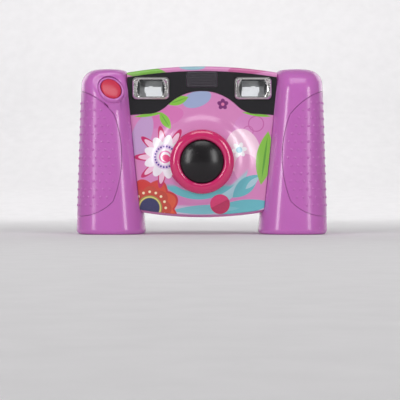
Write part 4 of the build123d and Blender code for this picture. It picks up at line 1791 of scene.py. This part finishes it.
@dataclass
class Body:
    """Central body: shells, printed face, black panel and its windows."""

    shop: Workshop
    grips: Grips
    lens: Flat = (0.0, 44.2)
    bore: float = 18.0
    finder: Flat = (31.2, 89.2)
    flash: Flat = (0.0, 94.7)
    plain: float = -19.2
    crest: float = -26.3
    swell: float = 52.0

    def flank(self, level: float, depth: float) -> float:
        """Where the grip's skin crosses a depth at a level.

        Args:
            level: height in millimetres.
            depth: y in millimetres.

        Returns:
            The x of the crossing.
        """
        x, y, half_x, half_y = self.grips.section(min(level, 100.8), 0.0)
        share, power = min(1.0, abs(depth - y) / half_y), self.grips.front_power
        return x - half_x * (1 - share**power) ** (1 / power)

    def brow(self, x: float) -> float:
        """Upper edge of the printed face at a distance from the middle.

        Args:
            x: distance from the middle.

        Returns:
            The height of the edge.
        """
        x, half, rise, shoulder, level = abs(x), 21.3, 8.9, 33.0, 73.9
        if x < half:
            radius = (half * half + rise * rise) / (2 * rise)
            return 87.8 - radius + math.sqrt(radius * radius - x * x)
        if x < shoulder:
            return level + 5.0 * (1 - (x - half) / (shoulder - half)) ** 2.1
        return level - (x - shoulder) * 0.076

    def hem(self, x: float) -> float:
        """Lower edge of the body at a distance from the middle."""
        return 10.4 + 3.8 * (x / 41.0) ** 2

    def on_face(self, x: float, z: float) -> bool:
        """Tests whether a place lies on the printed face."""
        level = self.hem(x) + 1.4 < z < self.brow(x) - 0.3
        return level and abs(x) < self.flank(z, self.plain) - 0.15

    def face(self) -> bpy.types.Object:
        """Printed face: a polar sheet swelled toward the lens by its recipe.

        Returns:
            The face plate.
        """
        corners = [(self.flank(z, self.plain) * k, z) for k in (-1, 1) for z in (72.9, 15.0)]
        angles = {math.atan2(z - self.lens[1], x - self.lens[0]) % math.tau for x, z in corners}
        angles |= {math.tau * k / 150 for k in range(150)}
        rows = []
        x, z = self.lens
        for share in [k / 26 for k in range(27)]:
            row = []
            for angle in sorted(angles):
                end = reach(self.on_face, self.lens, angle, 90.0)
                radius = self.bore + (end - self.bore) * share
                row.append((x + radius * math.cos(angle), self.plain, z + radius * math.sin(angle)))
            rows.append(row)
        sheet = lattice("face_sheet", rows)
        self.front_first(sheet)
        swelled = self.swell_recipe().run(sheet)
        thick = swelled.modifiers.new("wall", "SOLIDIFY")
        thick.thickness, thick.offset, thick.use_even_offset = 2.0 * MM, -1.0, True
        rounded = swelled.modifiers.new("rims", "BEVEL")
        rounded.width, rounded.segments, rounded.limit_method = 0.35 * MM, 2, "ANGLE"
        rounded.angle_limit, rounded.use_clamp_overlap = math.radians(50), True
        return smoothed(settle(swelled), 40.0)

    def front_first(self, sheet: bpy.types.Object) -> None:
        """Turns an open sheet to face the front."""
        if sum(face.normal.y for face in sheet.data.polygons) > 0:
            sheet.data.flip_normals()

    def swell_recipe(self) -> Recipe:
        """Recipe that sets each point's depth by its distance from the lens axis.

        Returns:
            The recipe.
        """
        recipe = Recipe("face_swell")
        level = recipe.size("Lens level", self.lens[1] * MM)
        near, far = recipe.size("Bore", self.bore * MM), recipe.size("Reach", self.swell * MM)
        crest = recipe.size("Crest depth", self.crest * MM)
        plain = recipe.size("Plain depth", self.plain * MM)
        here = recipe.node("GeometryNodeInputPosition")
        split = recipe.node("ShaderNodeSeparateXYZ", Vector=here.outputs[0])
        up = recipe.node("ShaderNodeMath", {"operation": "SUBTRACT"})
        recipe.tree.links.new(split.outputs["Z"], up.inputs[0])
        recipe.tree.links.new(level, up.inputs[1])
        flat = recipe.node("ShaderNodeCombineXYZ", X=split.outputs["X"], Z=up.outputs[0])
        radius = recipe.node("ShaderNodeVectorMath", {"operation": "LENGTH"}, Vector=flat.outputs[0])
        share = recipe.node("ShaderNodeMapRange", Value=radius.outputs["Value"], From_Min=near, From_Max=far)
        fall = recipe.node("ShaderNodeFloatCurve", Value=share.outputs[0])
        curve = fall.mapping.curves[0]
        for x, y in ((0.147, 0.155), (0.382, 0.662), (0.647, 0.93)):
            curve.points.new(x, y)
        fall.mapping.update()
        depth = recipe.node("ShaderNodeMapRange", Value=fall.outputs[0], To_Min=crest, To_Max=plain)
        x, z = split.outputs["X"], split.outputs["Z"]
        place = recipe.node("ShaderNodeCombineXYZ", X=x, Y=depth.outputs[0], Z=z).outputs[0]
        moved = recipe.node("GeometryNodeSetPosition", Geometry=recipe.entry.outputs[0], Position=place)
        recipe.close(moved.outputs[0], Look.FACE)
        return recipe

    def barrel(self, grow: float) -> Inside:
        """Test for a round opening cut flat above and below."""
        return lambda x, z: math.hypot(x, z) < 8.5 + grow and abs(z) < 5.4 + grow

    def boxed(self, width: float, height: float, radius: float) -> Inside:
        """Test for a rounded rectangle.

        Args:
            width: full width.
            height: full height.
            radius: corner radius.

        Returns:
            The test.
        """
        def inside(x: float, z: float) -> bool:
            """Tests one place.

            Args:
                x: distance across from the middle.
                z: distance up from the middle.

            Returns:
                True when it lies inside.
            """
            out_x = max(abs(x) - (width / 2 - radius), 0.0)
            out_z = max(abs(z) - (height / 2 - radius), 0.0)
            return math.hypot(out_x, out_z) < radius
        return inside

    def finder_bezel(self, side: int) -> bpy.types.Object:
        """Bevelled silvery frame that slopes in to the barrel-shaped opening.

        Args:
            side: minus one for the left, one for the right.

        Returns:
            The bezel.
        """
        outer = self.boxed(22.3, 13.4, 2.6)
        lip, mouth = self.boxed(20.7, 11.8, 2.2), self.boxed(19.5, 10.6, 2.0)
        profile = (
            (outer, -17.05), (outer, -20.1), (lip, -21.0), (mouth, -20.9), (self.barrel(0.9), -19.9),
            (self.barrel(0.12), -19.5), (self.barrel(0.1), -17.05), (outer, -17.05),
        )
        rings = [(inside, 1.0, depth) for inside, depth in profile]
        return smoothed(self.finder_piece("bezel", side, rings, 120), 28.0)

    def finder_piece(
        self, name: str, side: int, rings: Sequence[tuple[Inside, float, float]], steps: int
    ) -> bpy.types.Object:
        """A closed piece through rings that follow outlines round a finder's axis.

        Args:
            name: object name.
            side: minus one for the left, one for the right.
            rings: outline, share of it and depth of each ring.
            steps: points in a ring.

        Returns:
            The piece.
        """
        x, z = side * self.finder[0], self.finder[1]
        angles = [math.tau * k / steps for k in range(steps)]
        rows = []
        for inside, share, depth in rings:
            ends = [share * reach(inside, (0.0, 0.0), angle, 30.0) for angle in angles]
            rows.append([(x + r * math.cos(a), depth, z + r * math.sin(a)) for r, a in zip(ends, angles)])
        return lattice(name, rows)

    def finder_window(self, side: int) -> bpy.types.Object:
        """Clear window with a gently domed front.

        Args:
            side: minus one for the left, one for the right.

        Returns:
            The window.
        """
        dome = [(share, -19.95 + 0.5 * share * share) for share in (0.0, 0.2, 0.4, 0.6, 0.8, 0.95)]
        profile = [*dome, (1.0, -19.3), (1.0, -18.2), (0.0, -18.2)]
        rings = [(self.barrel(0.0), share, depth) for share, depth in profile]
        return smoothed(self.finder_piece("window", side, rings, 96), 40.0)

    def flash_window(self) -> bpy.types.Object:
        """Tinted window with horizontal ribs laid by its recipe.

        Returns:
            The window with its ribs.
        """
        plate = prism("flash_plate", rounded_box(18.7, 9.4, 1.0, self.flash), -18.8, -17.05)
        painted(plate, Look.FLASH)
        recipe = Recipe("flash_ribs")
        ribs, gap = 9, 0.98
        count = recipe.size("Count", float(ribs))
        pitch = recipe.size("Pitch", gap * MM)
        width = recipe.size("Width", 16.9 * MM)
        thick = recipe.size("Thickness", 0.34 * MM)
        whole = recipe.node("FunctionNodeFloatToInt", Float=count)
        step = recipe.node("ShaderNodeCombineXYZ", Z=pitch)
        line = recipe.node("GeometryNodeMeshLine", Count=whole.outputs[0], Offset=step.outputs[0])
        rib = recipe.node("GeometryNodeMeshCylinder", Vertices=12, Radius=thick, Depth=width)
        stood = recipe.node(
            "GeometryNodeInstanceOnPoints", Points=line.outputs[0], Instance=rib.outputs[0],
            Rotation=(0.0, math.pi / 2, 0.0),
        )
        shift = (self.flash[0] * MM, -18.85 * MM, (self.flash[1] - (ribs // 2) * gap) * MM)
        placed = recipe.node("GeometryNodeTransform", Geometry=stood.outputs[0], Translation=shift)
        recipe.close(placed.outputs[0], Look.FLASH)
        laid = recipe.run(seeds("ribs", [(0, 0, 0)], [(0, -1, 0)]))
        return smoothed(merged([plate, laid], "flash_whole"), 35.0)

    def screws(self) -> bpy.types.Object:
        """Six case screws, copies of one modelled screw set on their spots by a recipe.

        Returns:
            The six screws as one piece.
        """
        shank = ((0, -10.6), (0.5, -10.6), (1.15, -8.8), (1.15, 9.5))
        head = ((2.35, 9.5), (2.35, 10.7), (2.0, 11.15), (0, 11.2))
        screw = lathe("screw", (*shank, *head), (0.0, 0.0), 28)
        for low, high in (((-1.5, 10.4, -0.32), (1.5, 12, 0.32)), ((-0.32, 10.4, -1.5), (0.32, 12, 1.5))):
            screw = combine(screw, block("cross", low, high), "DIFFERENCE")
        grip_x, grip_z = self.grips.case_screw()
        half = ((34.5, 0, 64.5), (31.0, 0, 18.2), (grip_x, -0.4, grip_z))
        spots = [(side * x, shift, z) for side in (-1, 1) for x, shift, z in half]
        recipe = Recipe("case_screw_set")
        scale = recipe.size("Scale", 1.0)
        source = recipe.node("GeometryNodeObjectInfo")
        source.inputs["Object"].default_value = screw
        stood = recipe.node(
            "GeometryNodeInstanceOnPoints", Points=recipe.entry.outputs[0],
            Instance=source.outputs["Geometry"], Scale=scale,
        )
        recipe.close(stood.outputs[0], Look.STEEL)
        made = recipe.run(seeds("screw_spots", spots, [(0, 1, 0)] * len(spots)))
        drop(screw)
        return smoothed(made, 35.0)

    def build(self) -> None:
        """Builds and hands over the body's pieces."""
        hand = self.shop.hand_over
        hand(self.face(), "face_plate", "printed_face")
        for side, label in ((-1, "left"), (1, "right")):
            hand(painted(self.finder_bezel(side), Look.BEZEL), f"{label}_finder_bezel", "clear_bezel")
            hand(painted(self.finder_window(side), Look.CLEAR), f"{label}_finder_window", "clear_plastic")
            self.shop.finish_copy(f"{label}_finder_tunnel", Look.TUNNEL, "dark_plastic")
            self.shop.finish_copy(f"{label}_eyepiece", Look.CLEAR, "clear_plastic")
        hand(self.flash_window(), "flash_window", "flash_lens")
        hand(self.screws(), "case_screws", "steel")
        self.shop.finish_copy("mask", Look.BLACK, "black_gloss")
        self.shop.finish_copy("front_shell", Look.SHELL, "shell_plastic")
        self.shop.finish_copy("rear_shell", Look.SHELL, "shell_plastic")
        log.info("built the body")


@dataclass
class LensGroup:
    """Magenta ring, smoked window and the barrel behind it."""

    shop: Workshop
    axis: Flat = (0.0, 44.2)
    ring_profile: tuple[Flat, ...] = (
        (13.3, -27.0), (13.3, -29.0), (13.5, -29.5), (14.0, -30.05), (14.9, -30.4), (16.0, -30.35),
        (17.2, -29.95), (18.3, -29.3), (19.1, -28.5), (19.45, -27.6), (19.5, -26.8), (19.3, -26.5),
        (17.7, -26.5), (17.7, -17.1), (15.7, -17.1), (15.7, -27.0), (13.3, -27.0),
    )

    def dome_profile(self) -> list[Flat]:
        """Profile of the smoked window: a shallow dish with a rounded rim.

        Returns:
            The (radius, depth) points.
        """
        rim, crown, edge, wall = 13.2, -33.0, -28.8, 1.5
        curve = (rim * rim + (edge - crown) ** 2) / (2 * (edge - crown))
        wide, room = (0, 1.5, 3, 5, 7, 9, 10.5, 12, 12.8, 13.1), (11.4, 9, 7, 5, 3, 1.5, 0)
        outer = [(r, crown + curve - math.sqrt(curve**2 - r * r)) for r in wide]
        inner = [(r, crown + curve - math.sqrt((curve - wall) ** 2 - r * r)) for r in room]
        return [*outer, (rim, -28.6), (rim, -27.2), (11.6, -27.2), *inner]

    def build(self) -> None:
        """Builds and hands over the lens pieces."""
        ring = smoothed(lathe("ring", self.ring_profile, self.axis, 120), 45.0)
        self.shop.hand_over(painted(ring, Look.RING), "lens_ring", "ring_magenta")
        dome = smoothed(lathe("dome", self.dome_profile(), self.axis, 96), 45.0)
        self.shop.hand_over(painted(dome, Look.SMOKED), "lens_dome", "smoked_glass")
        self.shop.finish_copy("lens_barrel", Look.DARK, "dark_plastic")
        self.shop.finish_copy("lens_elements", Look.CLEAR, "clear_plastic")
        log.info("built the lens group")


# ------------------------------------------------------------------ rear controls and inside


class Symbol(Enum):
    """Generic raised symbols on the rear keys, as outlines in millimetres."""

    FORWARD = (((-1.2, -1.7), (1.8, 0.0), (-1.2, 1.7)),)
    BACK = (((1.2, -1.7), (1.2, 1.7), (-1.8, 0.0)),)
    CROSS = (
        ((-1.7, -1.2), (-1.2, -1.7), (1.7, 1.2), (1.2, 1.7)),
        ((-1.7, 1.2), (1.2, -1.7), (1.7, -1.2), (-1.2, 1.7)),
    )
    SWITCH = (((-0.3, 0.3), (0.3, 0.3), (0.3, 2.2), (-0.3, 2.2)),)


@dataclass
class RearControls:
    """Screen, keys, eyecup, port cover and strap lug."""

    shop: Workshop
    keys: tuple[tuple[str, float, float, Symbol], ...] = (
        ("power_key", -30.2, 53.5, Symbol.SWITCH),
        ("next_key", -30.2, 36.5, Symbol.BACK),
        ("delete_key", 30.2, 53.5, Symbol.CROSS),
        ("previous_key", 30.2, 36.5, Symbol.FORWARD),
    )

    def key(self, name: str, x: float, z: float, symbol: Symbol) -> bpy.types.Object:
        """One dished key with its raised symbol.

        Args:
            name: CAD node of the key.
            x: x of its middle.
            z: z of its middle.
            symbol: what it shows.

        Returns:
            The key.
        """
        cap = [(0, 19.25), (1.5, 19.28), (2.6, 19.38), (3.4, 19.55), (3.9, 19.6), (4.3, 19.42), (4.55, 19.0)]
        foot = [(4.6, 18.5), (4.6, 15.2), (5.5, 15.2), (5.5, 14.0), (0, 14.0)]
        body = painted(smoothed(lathe(name, [*cap, *foot], (x, z), 64), 40.0), Look.KEY)
        near = x - math.copysign(3.2, x)
        stem = painted(rod("stem", 1.7, 10.2, 14.2, (near, z), 32), Look.KEY)
        marks = [
            painted(prism("mark", [(x + u, z + v) for u, v in outline], 19.1, 19.56), Look.SYMBOL)
            for outline in symbol.value
        ]
        if symbol is Symbol.SWITCH:
            hoop = [(1.55, 19.1), (2.05, 19.1), (2.05, 19.56), (1.55, 19.56), (1.55, 19.1)]
            marks.append(painted(lathe("mark_ring", hoop, (x, z), 40), Look.SYMBOL))
        return smoothed(merged([body, stem, *marks], f"{name}_whole"), 40.0)

    def build(self) -> None:
        """Builds and hands over the rear pieces."""
        for name, x, z, symbol in self.keys:
            self.shop.hand_over(self.key(name, x, z, symbol), name, "key_plastic")
        for node, look, slot in (
            ("eyecup", Look.RUBBER, "black_rubber"),
            ("port_cover", Look.RUBBER, "black_rubber"),
            ("strap_lug", Look.DARK, "dark_plastic"),
            ("screen_bezel", Look.BLACK, "black_gloss"),
            ("screen_window", Look.GLASS, "screen_glass"),
            ("display_module", Look.DISPLAY, "screen_glass"),
            ("usb_socket", Look.STEEL, "steel"),
        ):
            self.shop.finish_copy(node, look, slot)
        log.info("built the rear controls")


@dataclass
class Electronics:
    """Parts inside the body, which keep their CAD shape."""

    shop: Workshop
    looks: tuple[tuple[str, Look], ...] = (
        ("sensor_board", Look.BOARD), ("main_board", Look.BOARD), ("image_sensor", Look.CHIP),
        ("sensor_board_posts", Look.GREY), ("flash_capacitor", Look.CHIP),
        ("flash_reflector", Look.REFLECTOR), ("flash_tube", Look.CLEAR), ("display_frame", Look.GREY),
        ("sounder", Look.CHIP), ("key_switches", Look.DARK),
    )

    def build(self) -> None:
        """Dresses each part."""
        for node, look in self.looks:
            self.shop.dress(node, look)
        log.info("dressed the electronics")


# ------------------------------------------------------------------ stage


@dataclass
class Studio:
    """Pale floor and backdrop, soft lights and the camera."""

    distance: float = 0.92
    level: float = 0.021
    lens: float = 132.8

    def stage(self) -> None:
        """Pale sweep of floor and backdrop."""
        profile = [(-3000, 0), (900, 0), (1150, 40), (1330, 160), (1430, 360), (1450, 600), (1450, 3000)]
        rows = [[(x, y, z - 0.05) for y, z in profile] for x in (-3000, 3000)]
        floor = lattice("floor", rows, ring=False)
        if floor.data.polygons[0].normal.z < 0:
            floor.data.flip_normals()
        smoothed(floor, 60.0)
        paper = Finish("pale_paper", (0.78, 0.77, 0.78), 0.75, grain=0.05, grain_size=2.0, worn=0.0)
        floor.data.materials.append(paper.material())

    def light(self, name: str, place: Point, aim: Point, size: Flat, power: float) -> None:
        """One soft box.

        Args:
            name: object name.
            place: where it stands.
            aim: where it points.
            size: width and height in metres.
            power: power in watts.
        """
        lamp = bpy.data.lights.new(name, "AREA")
        lamp.shape, lamp.size, lamp.size_y, lamp.energy = "RECTANGLE", size[0], size[1], power
        holder = linked(name, lamp)
        holder.location = place
        holder.rotation_euler = (Vector(aim) - Vector(place)).to_track_quat("-Z", "Y").to_euler()

    def build(self) -> None:
        """Sets up the stage, the lights and the camera."""
        self.stage()
        aim = (0.0, 0.0, 0.05)
        self.light("left_strip", (-1.05, -1.085, 0.52), aim, (0.35, 1.0), 8.2)
        self.light("right_strip", (0.98, -1.19, 0.52), aim, (0.35, 1.0), 7.5)
        self.light("overhead", (0.0, -0.35, 0.85), aim, (0.6, 0.35), 1.9)
        self.light("back_left", (-0.7, 0.75, 0.45), aim, (0.6, 0.6), 1.3)
        self.light("back_right", (0.7, 0.75, 0.45), aim, (0.6, 0.6), 1.3)
        self.light("backdrop_wash", (0.0, 0.75, 0.85), (0.0, 1.4, 0.15), (1.6, 0.3), 6.5)
        world = bpy.data.worlds.new("studio")
        world.use_nodes = True
        world.node_tree.nodes["Background"].inputs["Color"].default_value = (0.95, 0.94, 0.95, 1)
        world.node_tree.nodes["Background"].inputs["Strength"].default_value = 0.24
        bpy.context.scene.world = world
        bpy.context.scene.view_settings.view_transform = "Standard"
        camera = bpy.data.cameras.new("camera")
        camera.lens, camera.sensor_width, camera.clip_start = self.lens, 36.0, 0.01
        eye = linked("camera", camera)
        eye.location = (-0.0012, -self.distance, self.level)
        eye.rotation_euler = (math.pi / 2, 0, 0)
        bpy.context.scene.camera = eye


def main() -> None:
    """Builds the whole camera on its frame."""
    logging.basicConfig(level=logging.INFO, format="%(name)s: %(message)s")
    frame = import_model()
    shop = Workshop(frame)
    grips = Grips(shop)
    grips.build()
    Body(shop, grips).build()
    LensGroup(shop).build()
    RearControls(shop).build()
    Electronics(shop).build()
    Studio().build()


if __name__ == "__main__":
    main()
